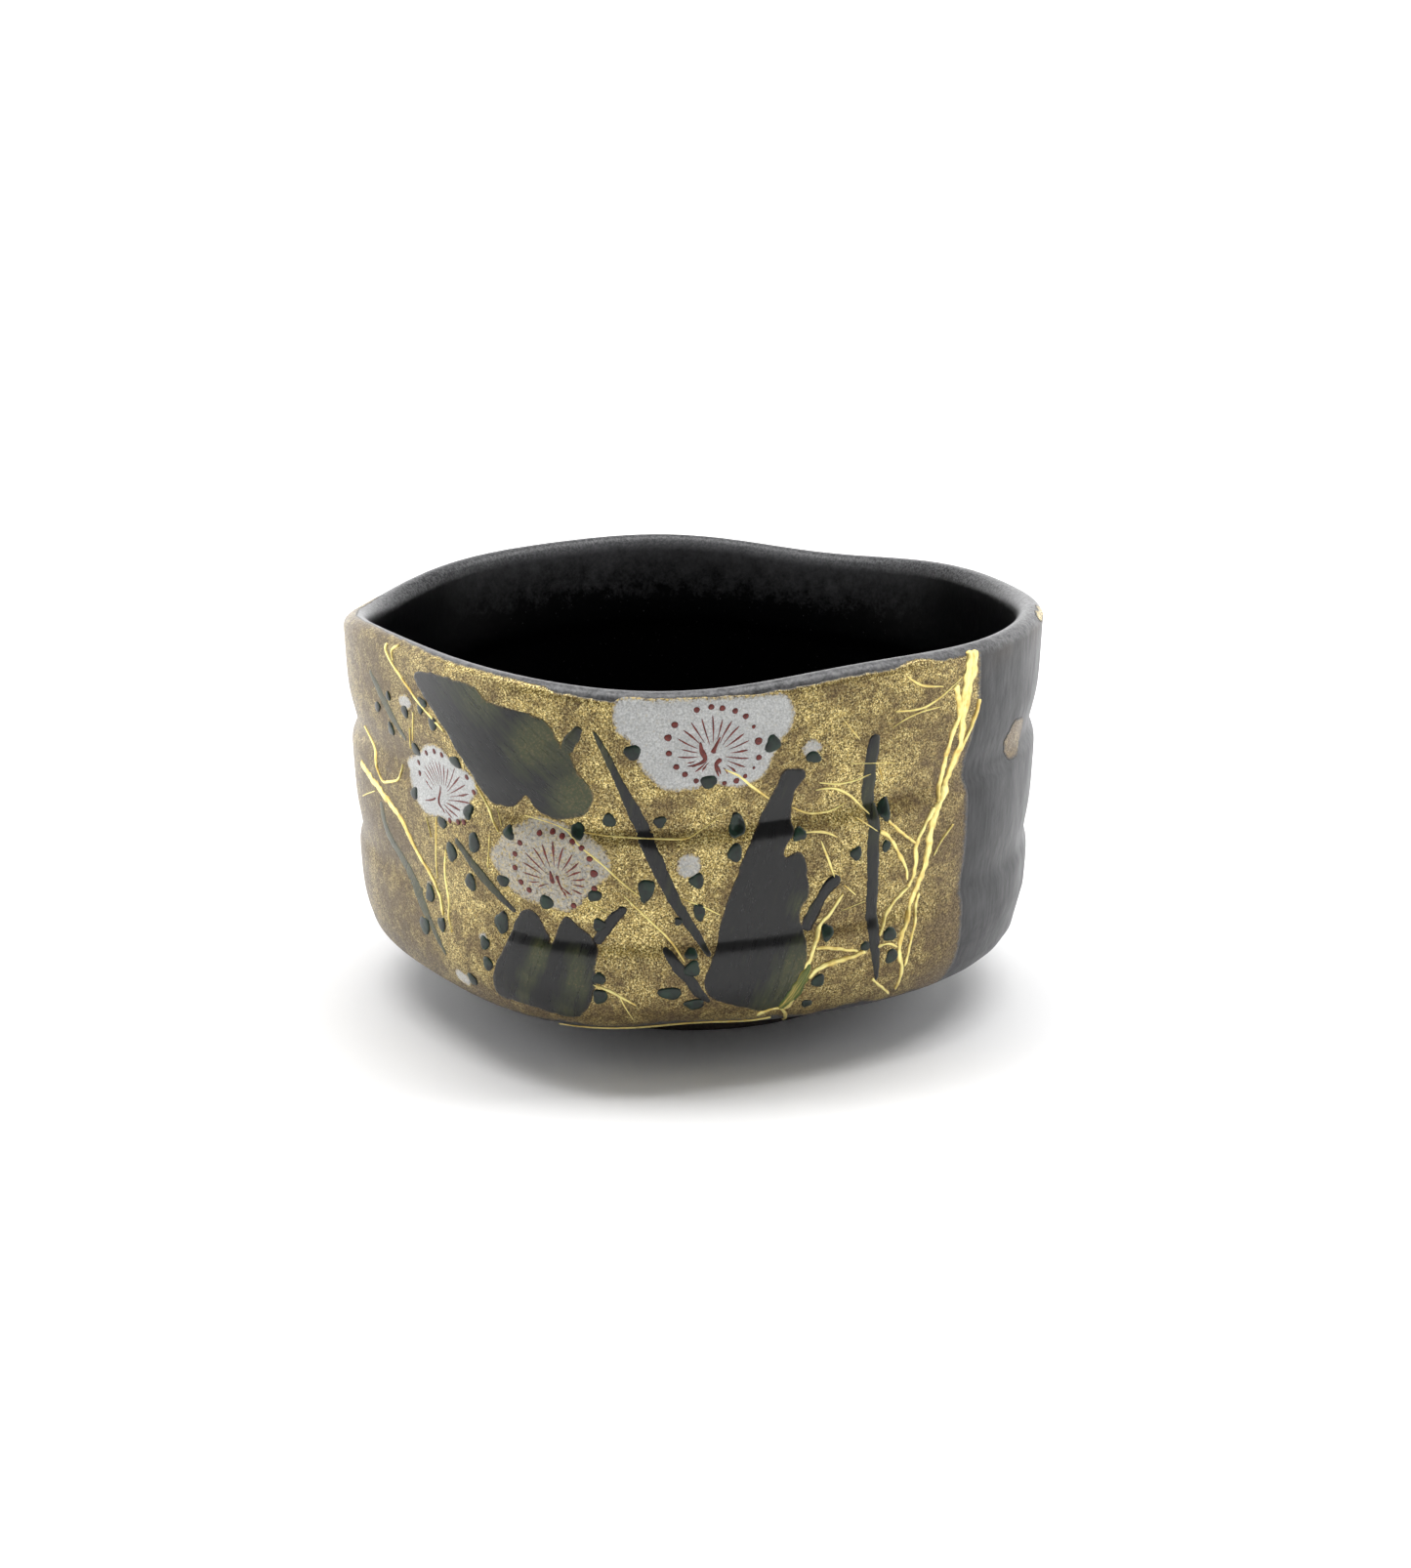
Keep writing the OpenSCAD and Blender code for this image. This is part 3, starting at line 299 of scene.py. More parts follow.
class Form:
    """The bowl's form in millimetres, from the sizes in the panel."""

    def __init__(self, sizes):
        self.rim_r = sizes.rim_radius / MM
        self.rim_h = sizes.rim_height / MM
        self.heel_r = sizes.heel_radius / MM
        self.heel_h = sizes.heel_height / MM
        self.heel_n = sizes.heel_squareness
        self.base_r = sizes.base_radius / MM
        self.wall = sizes.wall / MM
        self.glaze = sizes.glaze / MM
        self.floor_z = sizes.floor_height / MM
        self.floor_h = sizes.floor_curve / MM
        self.floor_n = sizes.floor_squareness
        self.tilt = sizes.groove_tilt / MM
        self.foot_h = FOOT_HIGH.z / MM
        self.foot_r = FOOT_HIGH.x / MM
        self.lip_z = self.rim_h - LIP_DROP
        self.inner_lip_z = self.rim_h - INNER_LIP_DROP
        self.crest_z = self.rim_h + LIP_CREST

    def waves(self, table, angle):
        return sum(size * math.cos(lobes * angle - math.radians(phase)) for lobes, size, phase in table)

    def dents(self, angle, z):
        total = 0.0
        for height, depth in GROOVES:
            away = z - self.tilt * math.sin(angle) - height
            total += depth * math.exp(-((away / (GROOVE_ABOVE if away > 0 else GROOVE_BELOW)) ** 2))
        return total

    def straight_r(self, z):
        return self.heel_r + (self.rim_r - self.heel_r) * (z - self.foot_h) / (self.rim_h - self.foot_h)

    def outside_r(self, z):
        share = bulge((z - self.foot_h) / self.heel_h, self.heel_n)
        return self.base_r + (self.straight_r(z) - self.base_r) * share

    def inside_r(self, z):
        """The glaze inside pools thicker from a little under the lip down."""
        pooled = INSIDE_POOL * clamp((self.inner_lip_z - z) / POOL_REACH)
        side = self.straight_r(z) - self.wall - pooled
        return side * bulge((z - self.floor_z) / self.floor_h, self.floor_n)

    def lip(self, angle, lift=0.0):
        """Radius and height on the lip's section: 0 is its outside, a quarter turn its crest."""
        outer = angle < math.pi / 2
        reach = LIP_OUT if outer else self.wall - LIP_OUT
        foot = self.lip_z if outer else self.inner_lip_z
        middle = self.outside_r(self.lip_z) - LIP_OUT
        return (middle + (reach + lift) * math.cos(angle),
                foot + (self.crest_z - foot + lift) * math.sin(angle))

    def thrown(self, r, angle, z):
        """Takes a point of the true round bowl to the wavy one, in metres."""
        side = self.straight_r(z)
        share = (1 - (1 - INNER_GROOVE_SHARE) * clamp((side - r) / self.wall)) * clamp(r / side)
        outside = clamp((r - self.outside_r(z)) / 1.2 + 1.0)
        r = (r - share * self.dents(angle, z)) * (1 + self.waves(PLAN_WAVES, angle) / self.rim_r)
        rise = HEEL_RISE * ((1 + math.cos(angle - FRONT)) / 2) ** HEEL_RISE_FOCUS
        rise *= clamp((z - self.foot_h) / 2) * math.exp(-((max(0, z - self.foot_h - 2) / 6) ** 2))
        z += self.waves(RIM_WAVES, angle) * (z / self.rim_h) ** 2 * clamp(r / 20) + outside * rise
        return Vector((r * math.cos(angle), r * math.sin(angle), z)) * MM

    def on_wall(self, s, h, lift):
        """The place of a flat point of the decoration on the outside of the bowl, in metres."""
        angle = FRONT + s / self.rim_r
        if h > self.lip_z:
            r, z = self.lip((h - self.lip_z) / LIP_OUT, lift)
            return self.thrown(r, angle, z)
        slope = clamp((self.outside_r(h + 0.1) - self.outside_r(max(self.foot_h, h - 0.1))) / 0.2, -1, 30)
        length = math.hypot(1, slope)
        return self.thrown(self.outside_r(h) + lift / length, angle, h - lift * slope / length)


def bulge(t, n):
    """How far out a superelliptic curve has come at the share t of its height."""
    return (1 - (1 - clamp(t)) ** n) ** (1 / n)


def climb(b, n):
    """The share of its height at which a superelliptic curve has come out by the share b."""
    return 1 - (1 - b**n) ** (1 / n)


# ---- Making meshes ----


def linked_object(bm, name, materials):
    """Turns a bmesh into an object in the scene."""
    mesh = bpy.data.meshes.new(name)
    bm.to_mesh(mesh)
    bm.free()
    for material in materials:
        mesh.materials.append(material)
    made = bpy.data.objects.new(name, mesh)
    bpy.context.scene.collection.objects.link(made)
    return made


def finish_piece(bm, name, slot, node, *materials):
    """Turns a bmesh into a piece that rides on the bowl and stands for its CAD node, if it has one."""
    piece = linked_object(bm, name, materials)
    piece.data.shade_smooth()
    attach(piece, "root")
    if node:
        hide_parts(node)


def spun(section, closed, steps):
    """A bmesh of a section of (radius, height) points turned once round the Z axis."""
    bm = bmesh.new()
    verts = [bm.verts.new((r, 0, z)) for r, z in section]
    ends = verts[1:] + (verts[:1] if closed else [])
    edges = [bm.edges.new(pair) for pair in zip(verts, ends)]
    bmesh.ops.spin(
        bm, geom=verts + edges, cent=(0, 0, 0), axis=(0, 0, 1), angle=math.tau, steps=steps, use_merge=True)
    bmesh.ops.remove_doubles(bm, verts=bm.verts[:], dist=0.001)
    bmesh.ops.recalc_face_normals(bm, faces=bm.faces[:])
    return bm


def throw(bm, form):
    """Gives a round bmesh the bowl's waves and grooves, and keeps each point's level for the finish."""
    level = bm.verts.layers.float.new("level")
    for edge in bm.edges:
        edge.smooth = edge.calc_face_angle(0) < SHARP_FOLD
    for v in bm.verts:
        v[level] = v.co.z
        v.co = form.thrown(math.hypot(v.co.x, v.co.y), math.atan2(v.co.y, v.co.x), v.co.z)


def wrap(bm, form):
    """Lays a flat bmesh, whose Z is the lift, on the wall, and keeps s and h as its UV map."""
    uv = bm.loops.layers.uv.new("wall")
    for face in bm.faces:
        for loop in face.loops:
            loop[uv].uv = loop.vert.co.xy / 100
    for v in bm.verts:
        v.co = form.on_wall(*v.co)


def extruded(bm, faces, kind):
    """Extrudes faces in place, and returns the new side's points or faces."""
    made = bmesh.ops.extrude_face_region(bm, geom=faces)["geom"]
    return [g for g in made if isinstance(g, kind)]


def cut_in_cells(bm, across, up):
    """Cuts a flat bmesh along a grid, so that it can follow the wall."""
    bmesh.ops.triangulate(bm, faces=[f for f in bm.faces if len(f.verts) > 4])
    for axis, cell in ((0, across), (1, up)):
        values = [v.co[axis] for v in bm.verts]
        normal = Vector((axis == 0, axis == 1, 0))
        for k in range(math.ceil(min(values) / cell), math.floor(max(values) / cell) + 1):
            bmesh.ops.bisect_plane(
                bm, geom=bm.verts[:] + bm.edges[:] + bm.faces[:], dist=1e-5, plane_co=normal * k * cell,
                plane_no=normal)


def keep_cover(bm, outline, reach):
    """Stores how far each point is inside the outline: 0 on its edge, 1 from reach inwards."""
    tree = kdtree.KDTree(len(outline))
    for i, p in enumerate(outline):
        tree.insert((p[0], p[1], 0), i)
    tree.balance()
    cover = bm.verts.layers.float.get("cover") or bm.verts.layers.float.new("cover")
    for v in bm.verts:
        v[cover] = clamp(tree.find((v.co.x, v.co.y, 0))[2] / reach)


def painted_shape(outline, base, height, reach, eased=0.15, width=CELL_WIDTH):
    """A bmesh of one painted shape: closed, flat below, eased at its edge and cut into cells."""
    bm = bmesh.new()
    bm.faces.new([bm.verts.new((p[0], p[1], base)) for p in outline])
    top = extruded(bm, bm.faces[:], bmesh.types.BMFace)
    lift_and_draw(top, 0.4 * height)
    bmesh.ops.inset_region(bm, faces=top, thickness=eased, depth=0, use_even_offset=True)
    lift_and_draw(top, 0.6 * height)
    bmesh.ops.recalc_face_normals(bm, faces=bm.faces[:])
    cut_in_cells(bm, width, CELL_HEIGHT)
    keep_cover(bm, outline, reach)
    return bm


def rough_edge(outline, spacing, amount, seed):
    """A smooth closed outline with a brush's small unevenness."""
    line = [p.xy for p in smooth_line(outline, spacing, closed=True)]
    out = []
    for i, p in enumerate(line):
        way = (line[(i + 1) % len(line)] - line[i - 1]).normalized()
        push = wobble(p, 2.2, seed) + 0.6 * wobble(p, 0.8, seed + 1)
        out.append(p + Vector((way.y, -way.x)) * amount * push)
    return out


def ribbon(bm, line, base, height, spacing=0.7, across=4, frayed=0.0, seed=0):
    """Adds a closed stroke through (s, h, width) points, domed across its width."""
    path = smooth_line(line, spacing)
    count = len(path)
    uv = bm.loops.layers.uv.get("along") or bm.loops.layers.uv.new("along")
    made = bmesh.ops.create_grid(bm, x_segments=count - 1, y_segments=across, size=0.5)["verts"]
    faces = list({f for v in made for f in v.link_faces})
    length = [0.0]
    for p, q in zip(path, path[1:]):
        length.append(length[-1] + (q.xy - p.xy).length)
    for f in faces:
        for loop in f.loops:
            i = round((loop.vert.co.x + 0.5) * (count - 1))
            loop[uv].uv = length[i] / 10 + seed, loop.vert.co.y
    top = set(extruded(bm, faces, bmesh.types.BMVert))
    for v in list(top) + made:
        i = round((v.co.x + 0.5) * (count - 1))
        side = v.co.y * 2
        way = (path[min(i + 1, count - 1)].xy - path[max(i - 1, 0)].xy).normalized()
        half = path[i].z / 2 * (1 + frayed * wobble(path[i].xy + Vector((side, 0)), 1.1, seed))
        if i in (0, count - 1):
            half *= 0.45
        place = path[i].xy + Vector((-way.y, way.x)) * side * half
        lift = base + (height * (1 - 0.8 * side * side) if v in top else 0.0)
        v.co = place.x, place.y, lift
    bmesh.ops.recalc_face_normals(bm, faces=list({f for v in list(top) + made for f in v.link_faces}))


def dab(bm, s, h, width, height, base, thick, seed, uneven=0.12, sides=16):
    """Adds a small domed dab of enamel with an uneven outline."""
    made = bmesh.ops.create_circle(bm, cap_ends=True, radius=0.5, segments=sides)["verts"]
    face = next(iter(made[0].link_faces))
    turn = random.Random(seed).uniform(-0.4, 0.4)
    for v in made:
        angle = math.atan2(v.co.y, v.co.x)
        r = 0.5 * (1 + uneven * (wobble((math.cos(angle) * 1.3, math.sin(angle) * 1.3), 1, seed)
                                 + 0.5 * math.cos(3 * angle + seed)))
        x, y = r * math.cos(angle) * width, r * math.sin(angle) * height
        v.co = s + x * math.cos(turn) - y * math.sin(turn), h + x * math.sin(turn) + y * math.cos(turn), base
    top = extruded(bm, [face], bmesh.types.BMFace)
    centre = Vector((s, h))
    lift_and_draw(top, 0.45 * thick, centre, 0.97)
    for rise, draw in ((0.35, 0.8), (0.15, 0.6), (0.05, 0.5)):
        bmesh.ops.inset_region(bm, faces=top, thickness=0.001, depth=0)
        lift_and_draw(top, rise * thick, centre, draw)


def lift_and_draw(faces, rise, centre=None, draw=1.0):
    """Raises the faces' points, and draws them towards a centre where one is given."""
    for v in {v for f in faces for v in f.verts}:
        if centre:
            v.co.x = centre.x + (v.co.x - centre.x) * draw
            v.co.y = centre.y + (v.co.y - centre.y) * draw
        v.co.z += rise


# ---- Finishes ----


class Finish:
    """Builds one procedural material. Scales are per millimetre."""

    def __init__(self, name, metallic=0.0, roughness=0.5, **constants):
        self.material = bpy.data.materials.new(name)
        self.material.use_nodes = True
        self.nodes = self.material.node_tree.nodes
        self.links = self.material.node_tree.links
        self.shader = self.nodes["Principled BSDF"]
        self.shader.inputs["Metallic"].default_value = metallic
        self.shader.inputs["Roughness"].default_value = roughness
        for socket, value in constants.items():
            self.shader.inputs[socket.replace("_", " ")].default_value = value
        self.place = self.nodes.new("ShaderNodeTexCoord").outputs["Object"]

    def node(self, kind, inputs, **settings):
        node = self.nodes.new(kind)
        for name, value in settings.items():
            setattr(node, name, value)
        for socket, value in inputs.items():
            if isinstance(value, bpy.types.NodeSocket):
                self.links.new(value, node.inputs[socket])
            else:
                node.inputs[socket].default_value = value
        return node

    def millimetres(self, stretch=(1, 1, 1), source=None):
        scale = tuple(c / MM for c in stretch) if source is None else stretch
        inputs = {"Vector": self.place if source is None else source, "Scale": scale}
        return self.node("ShaderNodeMapping", inputs).outputs["Vector"]

    def noise(self, scale, detail=2.0, roughness=0.5, stretch=(1, 1, 1), source=None):
        inputs = {"Vector": self.millimetres(stretch, source), "Scale": scale, "Detail": detail,
                  "Roughness": roughness}
        return self.node("ShaderNodeTexNoise", inputs).outputs["Fac"]

    def two_noises(self, first, second, share):
        """Two noises, each given by its scale, detail and so on, added by the first one's share."""
        return self.plus(self.times(self.noise(*first), share), self.times(self.noise(*second), 1 - share))

    def swing(self, value, amount):
        """A noise's swing about its middle."""
        return self.times(self.plus(value, -0.5), amount)

    def ragged_cover(self, scale, amount):
        """How far inside its outline the paint is, made uneven."""
        return self.plus(self.attribute("cover"), self.swing(self.noise(scale, 3, 0.7), amount))

    def cells(self, scale, output="Distance"):
        inputs = {"Vector": self.millimetres(), "Scale": scale}
        return self.node("ShaderNodeTexVoronoi", inputs).outputs[output]

    def uv(self, name):
        return self.node("ShaderNodeUVMap", {}, uv_map=name).outputs["UV"]

    def attribute(self, name):
        return self.node("ShaderNodeAttribute", {}, attribute_name=name).outputs["Fac"]

    def span(self, value, low, high, to_low=0.0, to_high=1.0):
        """Takes low to high onto another range, and stops at its ends."""
        inputs = {"Value": value, 1: low, 2: high, 3: to_low, 4: to_high}
        return self.node("ShaderNodeMapRange", inputs, clamp=True).outputs["Result"]

    def math(self, operation, a, b=0.0):
        return self.node("ShaderNodeMath", {0: a, 1: b}, operation=operation).outputs[0]

    def times(self, a, b):
        return self.math("MULTIPLY", a, b)

    def plus(self, a, b):
        return self.math("ADD", a, b)

    def blend(self, fac, a, b):
        """A colour from a to b."""
        inputs = {"Factor": fac, "A": solid(a), "B": solid(b)}
        node = self.nodes.new("ShaderNodeMix")
        node.data_type = "RGBA"
        node.clamp_factor = True
        for socket in node.inputs:
            if socket.enabled and socket.name in inputs:
                value = inputs[socket.name]
                if isinstance(value, bpy.types.NodeSocket):
                    self.links.new(value, socket)
                else:
                    socket.default_value = value
        return next(o for o in node.outputs if o.enabled)

    def set(self, socket, value):
        self.links.new(value, self.shader.inputs[socket])

    def bump(self, height, depth):
        """Adds a relief of this depth, in millimetres, to the one before."""
        bump = self.node("ShaderNodeBump", {"Height": height, "Distance": depth * MM})
        before = self.shader.inputs["Normal"].links
        if before:
            self.links.new(before[0].from_socket, bump.inputs["Normal"])
        self.set("Normal", bump.outputs["Normal"])


def solid(colour):
    return colour if isinstance(colour, bpy.types.NodeSocket) else (*colour[:3], 1.0)


def outside_glaze_finish(colours):
    """Charcoal glaze with faint streaks down the wall and a pale speckle on the lip."""
    f = Finish("black_glaze_outside", roughness=0.4, Specular_IOR_Level=0.36)
    tone = f.two_noises((1.6, 4, 0.6, (1, 1, 0.12)), (0.12, 3, 0.55), 0.55)
    wall = f.blend(f.span(tone, 0.35, 0.65), colours.glaze_deep, colours.glaze_pale)
    level = f.attribute("level")
    grains = f.two_noises((2.2, 3, 0.65), (0.7, 2), 0.6)
    lip = f.blend(f.span(grains, 0.38, 0.62), colours.lip_deep, colours.lip_pale)
    tinge = f.times(f.span(level, 61.5, 66), f.span(f.noise(0.09, 2), 0.4, 0.6, 0.2, 0.8))
    wall = f.blend(tinge, wall, colours.lip_brown)
    f.set("Base Color", f.blend(f.span(f.plus(level, f.times(f.noise(0.5, 2), 1.2)), 66.2, 67.4), wall, lip))
    f.set("Roughness", f.span(tone, 0.3, 0.7, 0.5, 0.36))
    f.bump(f.noise(0.9, 4, 0.6), 0.05)
    f.bump(f.noise(0.16, 2, stretch=(1, 1, 0.5)), 0.35)
    return f.material


def inside_glaze_finish(colours):
    """Black glaze with a grey speckle over the lip, and over the upper wall only at the back: the speckle
    shown on the back wall alone is painted light.
    """
    f = Finish("black_glaze_inside", roughness=0.32, Specular_IOR_Level=0.12)
    level = f.attribute("level")
    # Painted light: the upper wall's grey speckle is shown only on the back wall, which catches the light
    back = f.span(f.node("ShaderNodeSeparateXYZ", {"Vector": f.place}).outputs["Y"], 0.03, 0.052)
    clouds = f.two_noises((0.35, 4, 0.65), (1.6, 3, 0.7), 0.6)
    reach = f.plus(f.span(level, 53, 68), f.swing(clouds, 1.4))
    grains = f.blend(f.span(f.noise(2.2, 3, 0.7), 0.4, 0.62), colours.lip_deep, colours.lip_pale)
    stars = f.times(f.span(f.cells(0.8), 0.16, 0.05), f.span(clouds, 0.42, 0.58, 0.0, 0.7))
    haze = f.math("MAXIMUM", f.span(reach, 0.25, 1.0), f.times(stars, f.span(level, 30, 58)))
    dark = f.blend(f.times(haze, back), colours.inside_deep, colours.inside_haze)
    f.set("Base Color", f.blend(f.span(f.plus(level, f.times(clouds, 2.5)), 66, 69), dark, grains))
    f.bump(f.noise(0.8, 4, 0.6), 0.05)
    return f.material


def gold_leaf_finish(colours, name="aged_gold_leaf", dull=0.0):
    """Aged leaf: a fine sparkle over olive and brown patches, duller beside its right edge, with painted
    shade that darkens it at the left and low down, and a painted highlight where it turns over the lip.
    """
    f = Finish(name, metallic=0.7, roughness=0.5, Coat_Roughness=0.25, Specular_IOR_Level=0.36)
    grain = f.noise(3.4, 3, 0.75)
    flakes = f.cells(4.6, "Color")
    patches = f.two_noises((0.13, 4, 0.6), (0.55, 3, 0.6), 0.6)
    along = f.node("ShaderNodeSeparateXYZ", {"Vector": f.uv("wall")})
    s, h = along.outputs["X"], along.outputs["Y"]
    right = f.times(f.span(s, 0.34, 0.47), f.span(h, 0.64, 0.5))
    # Painted shade: left and low make the leaf darker and duller at the left of the panel and low down on the
    # wall
    left = f.span(s, -0.4, -0.62)
    low = f.span(h, 0.24, 0.12)
    # Duller beside the right edge, and painted shade at the left and low down
    dulled_and_shaded = f.math("MAXIMUM", f.math("MAXIMUM", right, f.times(low, 0.7)), f.times(left, 0.7))
    dullness_and_shade = f.plus(f.plus(f.span(patches, 0.42, 0.6, 0.0, 0.75), f.times(dulled_and_shaded, 0.6)), dull)
    mixed = f.plus(f.times(grain, 0.6), f.times(flakes, 0.4))
    sparkle = f.span(f.plus(mixed, f.times(dullness_and_shade, -0.05)), 0.38, 0.68)
    # Painted highlight: extra pale glints where the leaf turns over the lip
    rim_highlight = f.times(f.span(h, 0.652, 0.665, 0.0, 0.9), f.span(s, -0.5, -0.36))
    lit = f.math("MAXIMUM", f.span(dullness_and_shade, 0.8, 0.0, 0.1, 1.0), rim_highlight)
    pins = f.times(f.span(f.plus(f.noise(3.6, 2, 0.7), f.times(lit, 0.04)), 0.55, 0.66), lit)
    hollows = f.blend(dullness_and_shade, colours.leaf_olive, colours.leaf_brown)
    glints = f.blend(dullness_and_shade, colours.leaf_bright, colours.leaf_dull)
    gold = f.blend(pins, f.blend(sparkle, hollows, glints), colours.leaf_glint)
    # Painted shade: the left of the panel is drawn towards olive
    gold = f.blend(f.times(left, 0.3), gold, colours.leaf_olive)
    cover = f.ragged_cover(1.3, 1.1)
    f.set("Base Color", f.blend(f.span(cover, 0.6, 0.05), gold, colours.glaze_pale))
    f.set("Metallic", f.span(cover, 0.1, 0.6, 0.0, 0.7))
    f.set("Coat Weight", f.span(cover, 0.1, 0.6, 0.0, 0.35))
    f.set("Roughness", f.span(sparkle, 0, 1, 0.62, 0.42))
    f.bump(grain, 0.05)
    f.bump(f.noise(0.5, 3), 0.1)
    return f.material


def bright_gold_finish(colours):
    """Bright gilded strands, pale along their middles and with painted shade of amber at their edges, with
    fine ribs along them.
    """
    f = Finish("bright_gold", metallic=0.8, roughness=0.4)
    along = f.uv("along")
    ribs = f.noise(1.0, 3, 0.6, stretch=(2.5, 7, 1), source=along)
    across = f.math("ABSOLUTE", f.node("ShaderNodeSeparateXYZ", {"Vector": along}).outputs["Y"])
    tone = f.two_noises((0.22, 3, 0.6), (1.1, 2), 0.7)
    colour = f.blend(f.span(tone, 0.46, 0.66), colours.gold_pale, colours.gold_amber)
    # Painted shade: rim darkens each strand's edges towards the shade colour
    rim = f.span(f.plus(across, f.swing(ribs, 0.4)), 0.3, 0.46, 0.0, 0.85)
    colour = f.blend(f.span(ribs, 0.42, 0.3), colour, colours.gold_amber)
    f.set("Base Color", f.blend(rim, colour, colours.gold_shade))
    f.bump(ribs, 0.08)
    return f.material


def green_gilt_finish(colours):
    """A strand under thin green enamel."""
    f = Finish("green_gilt", metallic=0.2, roughness=0.35)
    ribs = f.noise(1.0, 3, 0.6, stretch=(1.5, 6, 1), source=f.uv("along"))
    f.set("Base Color", f.blend(f.span(ribs, 0.48, 0.74), colours.gilt_green, colours.gold_amber))
    f.bump(ribs, 0.06)
    return f.material


def petal_finish(colours, name, thin=0.0):
    """White enamel with a fine grain, thin at its edge so that the leaf shows through."""
    f = Finish(name, roughness=0.42)
    grain = f.noise(3.2, 2, 0.7)
    cloud = f.noise(0.25, 3)
    white = f.blend(f.span(grain, 0.34, 0.66), colours.petal_grey, colours.petal_white)
    white = f.blend(f.span(cloud, 0.4, 0.75, 0, 0.35), white, colours.petal_grey)
    under = f.blend(f.span(f.noise(2.3, 2, 0.7), 0.4, 0.62), colours.leaf_brown, colours.leaf_bright)
    solid_paint = f.times(f.span(f.ragged_cover(2.4, 1.6), 0.05, 0.55), 1 - thin)
    specks = f.times(f.span(f.noise(2.0, 3, 0.75), 0.56 - 0.1 * thin, 0.68), 0.25 + thin)
    f.set("Base Color", f.blend(f.math("SUBTRACT", solid_paint, specks), under, white))
    f.bump(grain, 0.04)
    return f.material


def dark_enamel_finish(colours, name, thin_spots, lean=0.0, thin=0.0):
    """Near-black glossy enamel, brushed along its lean, with green places where it lies thin on the leaf.

    A thin spot is its s, h and reach, and how thin it is.
    """
    f = Finish(name, roughness=0.3, Specular_IOR_Level=0.42)
    wall = f.uv("wall")
    turned = f.node("ShaderNodeMapping", {"Vector": wall, "Rotation": (0, 0, math.radians(lean))})
    strokes = f.noise(100, 4, 0.65, stretch=(0.9, 0.13, 1), source=turned.outputs["Vector"])
    thinness = f.plus(f.swing(strokes, 1.1), thin)
    for s, h, reach, amount in thin_spots:
        ends = {0: wall, 1: (s / 100, h / 100, 0)}
        away = f.node("ShaderNodeVectorMath", ends, operation="DISTANCE").outputs["Value"]
        thinness = f.plus(thinness, f.span(away, reach / 100, 0.1 * reach / 100, 0, amount))
    colour = f.blend(f.span(thinness, 0.1, 0.8), colours.enamel_black, colours.enamel_green)
    glints = f.times(f.span(f.noise(2.4, 3, 0.8), 0.5, 0.64), f.span(thinness, 0.35, 1.1, 0, 0.55))
    edge = f.times(f.span(f.ragged_cover(1.8, 1.1), 0.3, 0.0), f.span(thinness, 0.0, 0.6, 0.15, 0.8))
    f.set("Base Color", f.blend(f.math("MAXIMUM", glints, edge), colour, colours.leaf_dull))
    f.set("Roughness", f.span(strokes, 0.3, 0.7, 0.24, 0.36))
    f.bump(strokes, 0.05)
    return f.material


def green_enamel_finish(colours):
    """Raised glossy dabs of deep green."""
    f = Finish("green_enamel", roughness=0.3, Specular_IOR_Level=0.4)
    tone = f.two_noises((0.5, 2), (1.6, 3, 0.6), 0.6)
    f.set("Base Color", f.blend(f.span(tone, 0.38, 0.62), colours.dot_deep, colours.dot_green))
    f.bump(f.noise(1.5, 2), 0.05)
    return f.material


def red_enamel_finish(colours, name, colour):
    """Iron red with darker grains."""
    f = Finish(name, roughness=0.45)
    f.set("Base Color", f.blend(f.span(f.noise(2.5, 3, 0.6), 0.4, 0.65), colour, colours.red_deep))
    f.bump(f.noise(3, 2), 0.03)
    return f.material


def clay_finish(colours, name, deep, pale):
    """Fine dark stoneware with turning lines."""
    f = Finish(name, roughness=0.75)
    grit = f.noise(1.8, 5, 0.7)
    lines = f.noise(1.5, 3, 0.6, stretch=(0.05, 0.05, 1))
    tone = f.plus(f.times(grit, 0.7), f.times(lines, 0.3))
    f.set("Base Color", f.blend(f.span(tone, 0.38, 0.62), deep, pale))
    f.bump(grit, 0.06)
    f.bump(lines, 0.1)
    return f.material


# ---- Sizes and colours in the panel ----


def length(name, description, default, low, high):
    return FloatProperty(
        name=name, description=description, default=default, min=low, max=high, unit="LENGTH")


def number(name, description, default, low, high, **settings):
    return FloatProperty(name=name, description=description, default=default, min=low, max=high, **settings)


def colour(name, description, shade):
    return FloatVectorProperty(
        name=name, description=description, default=display(*shade), subtype="COLOR", size=3, min=0, max=1)


class TEABOWL_PG_sizes(bpy.types.PropertyGroup):
    """Sizes of the bowl"""

    rim_radius: length("Rim radius", "Radius of the wall under the lip", 0.05996, 0.05, 0.07)
    rim_height: length("Rim height", "Height of the lip's outer edge", 0.067, 0.06, 0.075)
    heel_radius: length("Heel radius", "Radius of the wall carried down to the foot", 0.0578, 0.05, 0.065)
    heel_height: length("Heel height", "Height of the curve at the foot of the wall", 0.014, 0.01, 0.018)
    heel_squareness: number("Heel squareness", "2 is an ellipse, more is squarer", 2.8, 2, 3.5)
    base_radius: length("Base radius", "Radius of the flat underside", 0.0326, 0.028, 0.036)
    wall: length("Wall", "Thickness of the wall and lip", 0.0046, 0.0035, 0.006)
    glaze: length("Glaze", "Thickness of the glaze coat", 0.0004, 0.0002, 0.0006)
    floor_height: length("Floor height", "Height of the inside floor", 0.0137, 0.011, 0.018)
    floor_curve: length("Floor curve", "Height of the curve from floor to wall", 0.024, 0.016, 0.03)
    floor_squareness: number("Floor squareness", "2 is an ellipse, more is squarer", 2.4, 2, 3)
    groove_tilt: length("Groove tilt", "How far the grooves dip at the front", 0.004, 0, 0.006)
    columns: IntProperty(name="Columns", description="Faces round the bowl", default=288, min=48, max=400)


